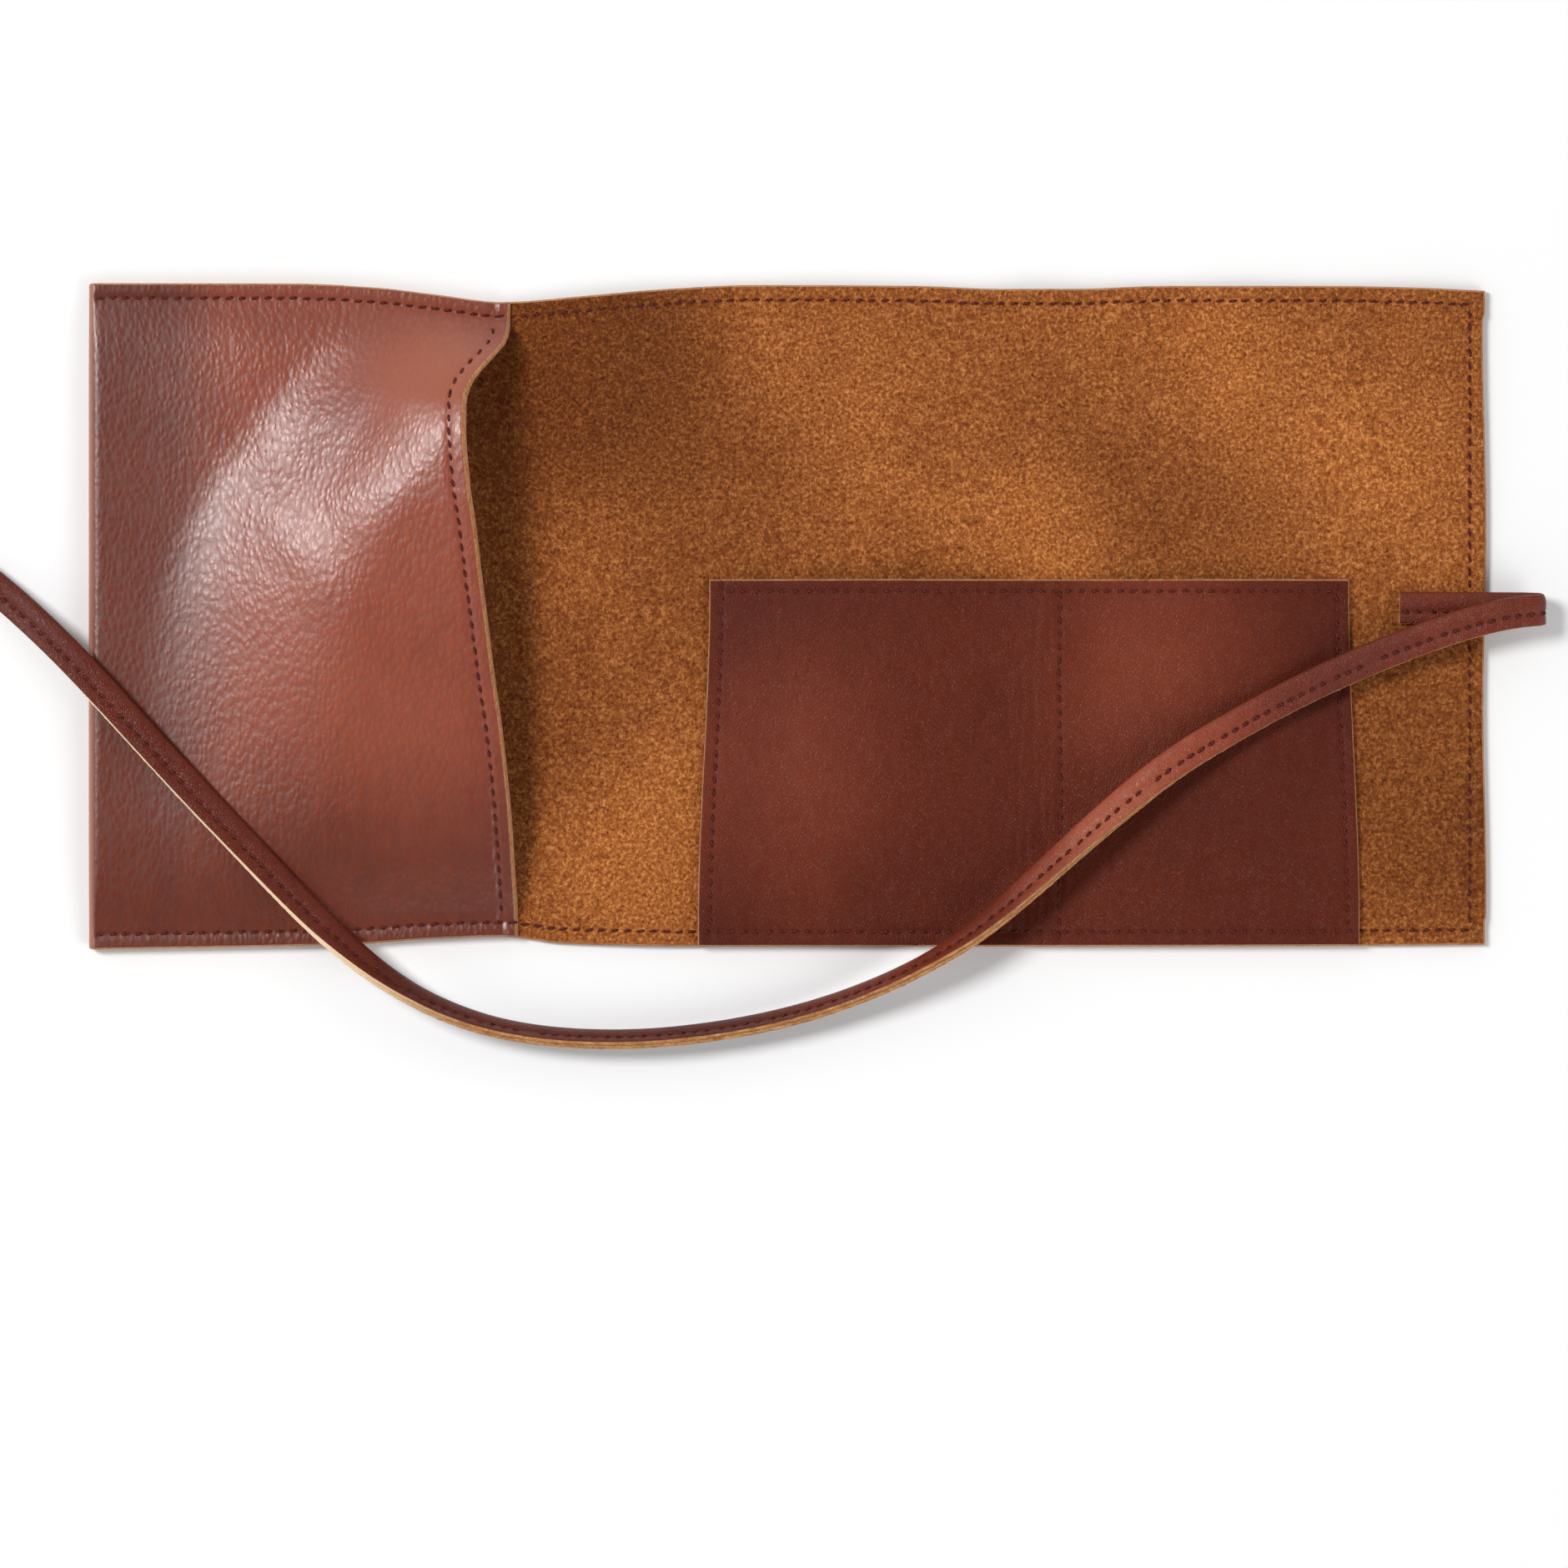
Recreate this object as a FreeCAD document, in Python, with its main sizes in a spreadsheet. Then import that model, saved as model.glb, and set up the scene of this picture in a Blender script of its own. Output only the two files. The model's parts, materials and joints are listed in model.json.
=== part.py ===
import FreeCAD, Part
import math
import os
import Sketcher
from FreeCAD import Vector, Placement, Rotation

# Leather roll case, laid open flat. One hide, smooth outside and suede inside,
# is folded over at its left end into a wide pocket and carries a sewn-on
# leather slip pocket with two compartments. A long folded strap is sewn to the
# suede near the right edge and ties the case when it is rolled up.
# X runs along the open case (left end -X), Y across it, Z up from the table.
# Origin: centre of the open case on the table.

os.makedirs("parts", exist_ok=True)

doc = FreeCAD.newDocument("leather_roll_case")
sheet = doc.addObject("Spreadsheet::Sheet", "sizes")

SIZES = [
    # the hide
    ("hide_len", 320.0),       # open length along X
    ("hide_wid", 151.0),       # width across Y
    ("hide_thk", 1.6),         # leather thickness
    ("half_len", 160.0),
    ("half_wid", 75.5),
    # bend lines, measured from the left end
    ("bend_tail", 46.0),
    ("bend_side", 71.0),
    ("bend_top", 121.0),
    ("bend_front", 160.0),
    ("bend_back", 220.0),
    ("bend_flap", 266.0),
    ("bend_gap", 0.2),         # each panel stops this short of its bend line
    # wide pocket, the folded-over end of the hide
    ("fold_lip", 6.0),
    ("mouth_at", 94.0),
    ("rise_tail", 9.0),
    ("rise_side", 14.0),
    ("rise_mouth", 17.0),
    # slip pocket
    ("slip_thk", 1.4),
    ("slip_left", 140.0),
    ("slip_right", 291.3),
    ("slip_high", 83.6),
    ("slip_rise", 4.5),
    ("divider_at", 222.8),
    # strap
    ("strap_wid", 7.2),
    ("strap_thk", 2.6),
    ("strap_dia", 3.6),
    ("anchor_at", 300.5),
    ("anchor_mid", 1.9),
    # stitches
    ("stitch_len", 2.2),
    ("stitch_wid", 0.7),
    ("stitch_tall", 0.35),
    ("stitch_gap", 3.0),
    ("seam_inset", 3.1),
]
for row, (alias, value) in enumerate(SIZES, 1):
    sheet.set("A%d" % row, alias)
    sheet.set("B%d" % row, str(value))
    sheet.setAlias("B%d" % row, alias)
doc.recompute()
S = {alias: float(getattr(sheet, alias)) for alias, _ in SIZES}

made = []


def place(obj, x, y, z):
    """Bind an object's position to expressions on the sheet."""
    obj.setExpression("Placement.Base.x", x)
    obj.setExpression("Placement.Base.y", y)
    obj.setExpression("Placement.Base.z", z)


def q(text):
    """Turn bare aliases into references to the sheet."""
    for alias in sorted((a for a, _ in SIZES), key=len, reverse=True):
        text = text.replace("$" + alias, "sizes." + alias)
    return text


def new_body(label):
    body = doc.addObject("PartDesign::Body", label)
    body.Label = label
    return body


def origin_plane(body, role):
    return [f for f in body.Origin.OriginFeatures if f.Role == role][0]


def plate(label, length, width, thick, x, y, z):
    """A flat piece of leather: a rectangle sketched on its body's XY plane and padded."""
    body = new_body(label)
    sk = body.newObject("Sketcher::SketchObject", label + "_outline")
    sk.AttachmentSupport = (origin_plane(body, "XY_Plane"), [""])
    sk.MapMode = "FlatFace"
    p = [Vector(0, 0, 0), Vector(30, 0, 0), Vector(30, 20, 0), Vector(0, 20, 0)]
    for i in range(4):
        sk.addGeometry(Part.LineSegment(p[i], p[(i + 1) % 4]), False)
    for i in range(4):
        sk.addConstraint(Sketcher.Constraint("Coincident", i, 2, (i + 1) % 4, 1))
    sk.addConstraint(Sketcher.Constraint("Horizontal", 0))
    sk.addConstraint(Sketcher.Constraint("Vertical", 1))
    sk.addConstraint(Sketcher.Constraint("Horizontal", 2))
    sk.addConstraint(Sketcher.Constraint("Vertical", 3))
    sk.addConstraint(Sketcher.Constraint("Coincident", 0, 1, -1, 1))
    a = sk.addConstraint(Sketcher.Constraint("DistanceX", 0, 1, 0, 2, 30.0))
    b = sk.addConstraint(Sketcher.Constraint("DistanceY", 1, 1, 1, 2, 20.0))
    sk.setExpression("Constraints[%d]" % a, q(length))
    sk.setExpression("Constraints[%d]" % b, q(width))
    pad = body.newObject("PartDesign::Pad", label + "_pad")
    pad.Profile = sk
    pad.setExpression("Length", q(thick))
    body.Tip = pad
    place(body, q(x), q(y), q(z))
    made.append(body)
    return body


# ---- the hide, panel by panel -------------------------------------------------

def hide_plate(label, start, end, first_gap="$bend_gap", last_gap="$bend_gap"):
    return plate(
        label,
        "%s - %s - %s - %s" % (end, start, first_gap, last_gap),
        "$hide_wid",
        "$hide_thk",
        "%s + %s - $half_len" % (start, first_gap),
        "-$half_wid",
        "0 * $hide_thk",
    )


# The left end: a plate whose end is turned up and over into a tight fold.
body = new_body("hide_tail")
sk = body.newObject("Sketcher::SketchObject", "hide_tail_section")
sk.AttachmentSupport = (origin_plane(body, "XZ_Plane"), [""])
sk.MapMode = "FlatFace"
t = S["hide_thk"]
end = S["bend_tail"] - S["bend_gap"]
lip = S["fold_lip"]
# half-round fold, then lip, step, plate, closed along the table
geo = [
    Part.LineSegment(Vector(t, 0, 0), Vector(end, 0, 0)),
    Part.LineSegment(Vector(end, 0, 0), Vector(end, t, 0)),
    Part.LineSegment(Vector(end, t, 0), Vector(lip, t, 0)),
    Part.LineSegment(Vector(lip, t, 0), Vector(lip, 2 * t, 0)),
    Part.LineSegment(Vector(lip, 2 * t, 0), Vector(t, 2 * t, 0)),
    Part.ArcOfCircle(Part.Circle(Vector(t, t, 0), Vector(0, 0, 1), t), math.pi / 2, 3 * math.pi / 2),
]
for g in geo:
    sk.addGeometry(g, False)
for i in range(4):
    sk.addConstraint(Sketcher.Constraint("Coincident", i, 2, i + 1, 1))
sk.addConstraint(Sketcher.Constraint("Tangent", 4, 2, 5, 1))
sk.addConstraint(Sketcher.Constraint("Tangent", 5, 2, 0, 1))
sk.addConstraint(Sketcher.Constraint("Horizontal", 0))
sk.addConstraint(Sketcher.Constraint("Vertical", 1))
sk.addConstraint(Sketcher.Constraint("Horizontal", 2))
sk.addConstraint(Sketcher.Constraint("Vertical", 3))
sk.addConstraint(Sketcher.Constraint("PointOnObject", 0, 1, -1))
c = sk.addConstraint(Sketcher.Constraint("DistanceX", -1, 1, 0, 1, t))
sk.setExpression("Constraints[%d]" % c, q("$hide_thk"))
c = sk.addConstraint(Sketcher.Constraint("DistanceX", -1, 1, 0, 2, end))
sk.setExpression("Constraints[%d]" % c, q("$bend_tail - $bend_gap"))
c = sk.addConstraint(Sketcher.Constraint("DistanceY", 1, 1, 1, 2, t))
sk.setExpression("Constraints[%d]" % c, q("$hide_thk"))
c = sk.addConstraint(Sketcher.Constraint("DistanceX", -1, 1, 3, 1, lip))
sk.setExpression("Constraints[%d]" % c, q("$fold_lip"))
c = sk.addConstraint(Sketcher.Constraint("DistanceY", 3, 1, 3, 2, t))
sk.setExpression("Constraints[%d]" % c, q("$hide_thk"))
pad = body.newObject("PartDesign::Pad", "hide_tail_pad")
pad.Profile = sk
pad.setExpression("Length", q("$hide_wid"))
pad.Midplane = True
body.Tip = pad
place(body, q("-$half_len"), q("0 * $hide_thk"), q("0 * $hide_thk"))
made.append(body)

hide_plate("hide_core_side", "$bend_tail", "$bend_side")
hide_plate("hide_core_top", "$bend_side", "$bend_top")
hide_plate("hide_front_side", "$bend_top", "$bend_front")
hide_plate("hide_base", "$bend_front", "$bend_back")
hide_plate("hide_back_side", "$bend_back", "$bend_flap")
hide_plate("hide_flap", "$bend_flap", "$hide_len", last_gap="0 * $bend_gap")


# ---- shapes that need lofted or swept surfaces --------------------------------

def feature(label, shape):
    obj = doc.addObject("Part::Feature", label)
    obj.Label = label
    obj.Shape = shape
    obj.Placement = Placement(Vector(0, 0, 0), Rotation())
    made.append(obj)
    return obj


def poly(points):
    return Part.makePolygon([Vector(*p) for p in points] + [Vector(*points[0])])


def X(mm):
    """Distance from the left end to the row's X."""
    return mm - S["half_len"]


# Front of the wide pocket. It lies flat along its two sewn edges and rises
# between them, most at the mouth and towards the upper side.
PROFILE = [(-75.5, 0.0), (-71.0, 0.0), (-62.0, 0.16), (-45.0, 0.34), (-20.0, 0.52),
           (5.0, 0.7), (25.0, 0.88), (38.0, 1.0), (48.0, 0.96), (60.0, 0.6), (71.0, 0.0), (75.5, 0.0)]


def front_section(at, rise):
    t = S["hide_thk"]
    lower = [(X(at), y, t + k * rise) for y, k in PROFILE]
    upper = [(X(at), y, 2 * t + k * rise) for y, k in PROFILE]
    return poly(lower + upper[::-1])


def front(label, stations):
    shape = Part.makeLoft([front_section(a, r) for a, r in stations], True, True)
    return feature(label, shape)


gap = S["bend_gap"]
front("large_pocket_front_tail", [(S["fold_lip"], 0.0), (S["bend_tail"] - gap, S["rise_tail"])])
front("large_pocket_front_side", [(S["bend_tail"] + gap, S["rise_tail"]), (S["bend_side"] - gap, S["rise_side"])])
front("large_pocket_front_mouth", [(S["bend_side"] + gap, S["rise_side"]), (S["mouth_at"], S["rise_mouth"])])


# Slip pocket: flat along its left edge and right edge, with a low rise over
# each compartment that closes towards the lower seam.
slip_low = -S["half_wid"]
slip_top = slip_low + S["slip_high"]

plate("small_pocket_left_edge", "$bend_front - $bend_gap - $slip_left", "$slip_high", "$slip_thk",
      "$slip_left - $half_len", "-$half_wid", "$hide_thk")
plate("small_pocket_right_edge", "$slip_right - $bend_flap - $bend_gap", "$slip_high", "$slip_thk",
      "$bend_flap + $bend_gap - $half_len", "-$half_wid", "$hide_thk")


def slip_section(y, a, b, start, end, rise):
    lo, hi = S["hide_thk"], S["hide_thk"] + S["slip_thk"]
    ramp = 6.0
    xs = [(a, 0), (start, 0), (start + ramp, rise), (end - ramp, rise), (end, 0), (b, 0)]
    lower = [(X(x), y, lo + r) for x, r in xs]
    upper = [(X(x), y, hi + r) for x, r in xs]
    return poly(lower + upper[::-1])


def slip_front(label, a, b, start, end):
    rise = S["slip_rise"]
    parts = []
    stations = [(slip_low, 0.0), (slip_low + 5.5, 0.0), (slip_low + 17.0, rise), (slip_top, rise)]
    for (y0, r0), (y1, r1) in zip(stations, stations[1:]):
        parts.append(Part.makeLoft([slip_section(y0, a, b, start, end, r0), slip_section(y1, a, b, start, end, r1)], True, True))
    shape = parts[0].fuse(parts[1:]).removeSplitter()
    return feature(label, shape)


slip_front("small_pocket_front_base", S["bend_front"] + gap, S["bend_back"] - gap, 166.0, 213.5)
slip_front("small_pocket_front_back", S["bend_back"] + gap, S["bend_flap"] - gap, 226.5, 260.0)


# ---- strap --------------------------------------------------------------------

plate("strap_anchor", "$hide_len - $anchor_at", "$strap_wid", "$strap_thk",
      "$anchor_at - $half_len", "$anchor_mid - $strap_wid / 2", "$hide_thk")

# Route of the strap's middle, in mm: out over the right edge, folded back on
# itself, down across the slip pocket, along the table below the case, up over
# the wide pocket and off its left end.
ROUTE = [
    (160.0, 1.9, 2.9),
    (165.0, 1.9, 2.9),
    (172.8, 1.8, 3.1),
    (172.8, 1.4, 10.8),
    (164.8, 0.6, 10.6),
    (152.6, -2.6, 9.4),
    (137.0, -8.4, 7.4),
    (120.4, -15.6, 6.8),
    (104.5, -24.0, 8.4),
    (88.0, -33.8, 10.4),
    (73.0, -46.0, 10.2),
    (60.2, -57.6, 8.2),
    (49.8, -67.0, 8.4),
    (38.6, -75.8, 8.8),
    (22.6, -84.4, 3.6),
    (3.0, -91.4, 1.95),
    (-19.6, -95.8, 2.05),
    (-41.6, -97.2, 1.95),
    (-62.6, -95.4, 2.05),
    (-78.6, -90.4, 3.4),
    (-91.2, -83.2, 8.2),
    (-101.6, -74.8, 9.2),
    (-111.8, -65.0, 8.4),
    (-122.8, -53.3, 7.8),
    (-134.4, -41.2, 7.2),
    (-146.8, -27.8, 7.8),
    (-158.0, -15.4, 8.8),
    (-168.4, -4.6, 7.4),
    (-181.0, 6.6, 2.6),
    (-197.6, 18.6, 1.95),
    (-213.6, 28.4, 2.05),
]
# the strap is parted at the middle of the run that crosses each bend line
BENDS = [S["bend_flap"], S["bend_back"], S["bend_front"], S["bend_top"], S["bend_side"], S["bend_tail"]]
NAMES = ["strap_fold", "strap_over_back", "strap_over_base", "strap_by_front",
         "strap_by_core_top", "strap_by_core_side", "strap_tip"]
pts = [Vector(*p) for p in ROUTE]
runs = [(b - a).Length for a, b in zip(pts, pts[1:])]
radii = [None] * len(pts)
for i in range(1, len(pts) - 1):
    u = (pts[i] - pts[i - 1]).normalize()
    v = (pts[i + 1] - pts[i]).normalize()
    turn = math.acos(max(-1.0, min(1.0, u.dot(v))))
    radii[i] = 0.45 * min(runs[i - 1], runs[i]) / math.tan(turn / 2)
print("strap radii mm", [round(r, 1) for r in radii[1:-1]])
print("strap runs mm", [round(r, 1) for r in runs])


def corner(i):
    """Start, middle and end of the arc that rounds route point i."""
    u = (pts[i] - pts[i - 1]).normalize()
    v = (pts[i + 1] - pts[i]).normalize()
    cut = 0.45 * min(runs[i - 1], runs[i])
    a, b = pts[i] - u * cut, pts[i] + v * cut
    bis = (v - u).normalize()
    turn = math.acos(max(-1.0, min(1.0, u.dot(v))))
    centre = pts[i] + bis * (radii[i] / math.cos(turn / 2))
    return a, centre - bis * radii[i], b


splits = []
for bend in BENDS:
    at = bend - S["half_len"]
    best = [i for i in range(2, len(pts) - 1) if (pts[i].x - at) * (pts[i + 1].x - at) <= 0]
    splits.append(best[0])
total = 0.0
bounds = [None] + splits + [None]
for n, name in enumerate(NAMES):
    first, last = bounds[n], bounds[n + 1]
    edges = []
    here = pts[0] if first is None else (pts[first] + pts[first + 1]) * 0.5
    begin = 1 if first is None else first + 1
    stop = len(pts) - 2 if last is None else last
    for i in range(begin, stop + 1):
        a, m, b = corner(i)
        edges.append(Part.LineSegment(here, a).toShape())
        edges.append(Part.Arc(a, m, b).toShape())
        here = b
    finish = pts[-1] if last is None else (pts[last] + pts[last + 1]) * 0.5
    edges.append(Part.LineSegment(here, finish).toShape())
    path = Part.Wire(edges)
    way = edges[0].tangentAt(edges[0].FirstParameter)
    ring = Part.Wire([Part.makeCircle(S["strap_dia"] / 2, edges[0].Vertexes[0].Point, way)])
    tube = path.makePipeShell([ring], True, False)
    ideal = math.pi * S["strap_dia"] ** 2 / 4 * path.Length
    total += path.Length
    print(name, "length", round(path.Length, 1), "volume ratio", round(tube.Volume / ideal, 4))
    feature(name, tube)
print("strap free length mm", round(total, 1))


# ---- stitches -----------------------------------------------------------------

def bar(x, y, z, along_x=True):
    lx, ly = (S["stitch_len"], S["stitch_wid"]) if along_x else (S["stitch_wid"], S["stitch_len"])
    return Part.makeBox(lx, ly, S["stitch_tall"], Vector(x - lx / 2, y - ly / 2, z))


def row_x(a, b, y, z, clear=3.3):
    """Stitches along X between two distances from the left end."""
    a, b = a + clear, b - clear
    n = int((b - a) / S["stitch_gap"])
    start = (a + b) / 2 - n * S["stitch_gap"] / 2
    return [bar(X(start + i * S["stitch_gap"]), y, z) for i in range(n + 1)]


def row_y(at, a, b, z):
    n = int((b - a) / S["stitch_gap"])
    start = (a + b) / 2 - n * S["stitch_gap"] / 2
    return [bar(X(at), start + i * S["stitch_gap"], z, False) for i in range(n + 1)]


one, two, slip = S["hide_thk"], 2 * S["hide_thk"], S["hide_thk"] + S["slip_thk"]
ye = S["half_wid"] - 2.4  # edge seams
cuts = [0.0, S["bend_tail"], S["bend_side"], S["bend_top"], S["bend_front"], S["bend_back"], S["bend_flap"], S["hide_len"]]
labels = ["tail", "core_side", "core_top", "front_side", "base", "back_side", "flap"]
for k, label in enumerate(labels):
    a, b = cuts[k], cuts[k + 1]
    bars = []
    for y in (ye, -ye):
        spans = [(0.0, S["mouth_at"], two), (S["mouth_at"], S["hide_len"], one)]
        if y < 0:
            spans = [(0.0, S["mouth_at"], two), (S["mouth_at"], S["slip_left"], one),
                     (S["slip_left"], S["slip_right"], slip), (S["slip_right"], S["hide_len"], one)]
        for s0, s1, z in spans:
            lo, hi = max(a, s0), min(b, s1)
            if hi - lo > 8:
                bars += row_x(lo, hi, y, z)
    if label == "flap":
        bars += row_y(S["hide_len"] - S["seam_inset"], -ye + 3.0, S["anchor_mid"] - 6.0, one)
        bars += row_y(S["hide_len"] - S["seam_inset"], S["anchor_mid"] + 6.0, ye - 3.0, one)
    feature("edge_stitches_" + label, Part.makeCompound(bars))

# hem along the mouth of the wide pocket, set on the sloping leather
t2 = 2 * S["hide_thk"]
mouth_bars = []
at = S["mouth_at"] - S["seam_inset"]
share = (at - S["bend_side"]) / (S["mouth_at"] - S["bend_side"])
rise = S["rise_side"] + share * (S["rise_mouth"] - S["rise_side"])
for (y0, k0), (y1, k1) in zip(PROFILE[1:-1], PROFILE[2:-1]):
    n = int((y1 - y0 - 2.0) / S["stitch_gap"])
    slope = math.atan2((k1 - k0) * rise, y1 - y0)
    for i in range(n + 1):
        w = (y0 + 1.0 + S["stitch_len"] / 2 + i * S["stitch_gap"] - y0) / (y1 - y0)
        if w * (y1 - y0) + S["stitch_len"] / 2 > y1 - y0 - 0.4:
            continue
        b = Part.makeBox(S["stitch_wid"], S["stitch_len"], S["stitch_tall"],
                         Vector(-S["stitch_wid"] / 2, -S["stitch_len"] / 2, 0.05))
        tilt = math.atan2(S["rise_mouth"] - S["rise_side"], S["mouth_at"] - S["bend_side"] - gap) * (k0 + w * (k1 - k0))
        b.Placement = Placement(Vector(X(at), y0 + w * (y1 - y0), t2 + (k0 + w * (k1 - k0)) * rise),
                                Rotation(Vector(1, 0, 0), math.degrees(slope)).multiply(Rotation(Vector(0, 1, 0), -math.degrees(tilt))))
        mouth_bars.append(b)
feature("large_pocket_hem_stitches", Part.makeCompound(mouth_bars))

low, high = slip_low + 6.0, slip_top - 6.0
feature("small_pocket_left_stitches", Part.makeCompound(row_y(S["slip_left"] + 2.6, low, high, slip)))
feature("small_pocket_divider_stitches", Part.makeCompound(row_y(S["divider_at"], low, high, slip)))
feature("small_pocket_right_stitches", Part.makeCompound(row_y(S["slip_right"] - 2.6, low, high, slip)))
hem = slip_top - 2.4
feature("small_pocket_hem_stitches_front", Part.makeCompound(row_x(S["slip_left"], S["bend_front"], hem, slip)))
feature("small_pocket_hem_stitches_base", Part.makeCompound(
    row_x(172.0, 207.5, hem, slip + S["slip_rise"], 1.4)))
feature("small_pocket_hem_stitches_back", Part.makeCompound(
    row_x(232.5, 254.0, hem, slip + S["slip_rise"], 1.4)))
feature("small_pocket_hem_stitches_flap", Part.makeCompound(row_x(S["bend_flap"], S["slip_right"], hem, slip)))
feature("strap_anchor_stitches", Part.makeCompound(
    row_x(S["anchor_at"], S["hide_len"], S["anchor_mid"] - 1.2, S["hide_thk"] + S["strap_thk"], 2.2)))

# ---- check and write ----------------------------------------------------------

doc.recompute()
for obj in doc.Objects:
    bad = [s for s in obj.State if s in ("Invalid", "Error")]
    if bad:
        raise RuntimeError("%s is %s" % (obj.Name, bad))
for obj in made:
    shape = obj.Shape
    if shape.isNull() or not shape.isValid() or not shape.Solids:
        raise RuntimeError("%s has no valid solid" % obj.Label)
    for solid in shape.Solids:
        if solid.Volume <= 0:
            raise RuntimeError("%s has a solid with no volume" % obj.Label)
for obj in made:
    obj.Shape.exportStep(os.path.join("parts", obj.Label + ".step"))
print("parts written:", len(made), "solids:", sum(len(o.Shape.Solids) for o in made))
print("total volume cm3:", round(sum(o.Shape.Volume for o in made) / 1000.0, 2))
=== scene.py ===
import json
import math
import bpy
import numpy as np
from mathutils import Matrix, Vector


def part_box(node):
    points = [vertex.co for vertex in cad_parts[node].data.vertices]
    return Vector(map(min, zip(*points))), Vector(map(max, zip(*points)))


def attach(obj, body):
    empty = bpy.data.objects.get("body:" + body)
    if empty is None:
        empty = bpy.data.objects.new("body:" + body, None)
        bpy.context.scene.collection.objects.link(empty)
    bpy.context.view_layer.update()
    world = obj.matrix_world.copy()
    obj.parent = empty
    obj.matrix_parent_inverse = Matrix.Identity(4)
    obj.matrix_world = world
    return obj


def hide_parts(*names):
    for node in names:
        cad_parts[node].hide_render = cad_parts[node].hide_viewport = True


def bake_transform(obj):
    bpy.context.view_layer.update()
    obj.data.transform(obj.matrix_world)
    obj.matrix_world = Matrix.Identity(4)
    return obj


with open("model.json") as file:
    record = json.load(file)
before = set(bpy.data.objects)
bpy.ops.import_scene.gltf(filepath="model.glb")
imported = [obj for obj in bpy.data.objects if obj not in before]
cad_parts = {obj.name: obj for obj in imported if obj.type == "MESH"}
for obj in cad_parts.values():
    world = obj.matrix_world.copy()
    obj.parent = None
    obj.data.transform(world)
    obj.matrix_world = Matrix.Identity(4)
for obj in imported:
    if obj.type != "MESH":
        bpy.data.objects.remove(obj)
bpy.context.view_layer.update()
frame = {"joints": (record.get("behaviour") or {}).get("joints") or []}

scene = bpy.context.scene
MM = 0.001

# ------------------------------------------------------------------ the frame
# All lengths below are in millimetres in the row frame until a mesh is made.
lo_tail, hi_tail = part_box("hide_tail")
lo_flap, hi_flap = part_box("hide_flap")
X0, X1 = lo_tail.x / MM, hi_flap.x / MM
HALF = hi_flap.y / MM
THK = (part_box("hide_base")[1].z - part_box("hide_base")[0].z) / MM
lo_slip, hi_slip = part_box("small_pocket_left_edge")
SLIP_L, SLIP_TOP = lo_slip.x / MM, hi_slip.y / MM
SLIP_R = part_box("small_pocket_right_edge")[1].x / MM
SLIP_T = (hi_slip.z - lo_slip.z) / MM
HINGE = {j["name"]: j["pos_m"][0] / MM for j in frame["joints"]}
DIV = sum(p.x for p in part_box("small_pocket_divider_stitches")) / 2 / MM
lo_anchor, hi_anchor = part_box("strap_anchor")
ANCHOR_X, ANCHOR_Y = lo_anchor.x / MM, (lo_anchor.y + hi_anchor.y) / 2 / MM

# the hide is parted half way between its bend lines
CUT = [(HINGE["roll_tail"] + HINGE["roll_side"]) / 2, (HINGE["roll_side"] + HINGE["roll_top"]) / 2,
       (HINGE["roll_top"] + HINGE["roll_front"]) / 2, (HINGE["roll_front"] + HINGE["flap_side"]) / 2,
       (HINGE["flap_side"] + HINGE["flap_top"]) / 2]


def bend_piece(obj):
    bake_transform(obj)


# ------------------------------------------------------------------ camera
cam_data = bpy.data.cameras.new("camera")
cam_data.sensor_width = 36.0
CAM_H = 1.9
cam_data.lens = 36.0 * CAM_H / 0.3602
cam_data.clip_start, cam_data.clip_end = 0.05, 20.0
cam = bpy.data.objects.new("camera", cam_data)
scene.collection.objects.link(cam)
cam.location = (-0.0005, -0.0385, CAM_H)
cam.rotation_euler = (0.0, 0.0, 0.0)
scene.camera = cam


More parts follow.
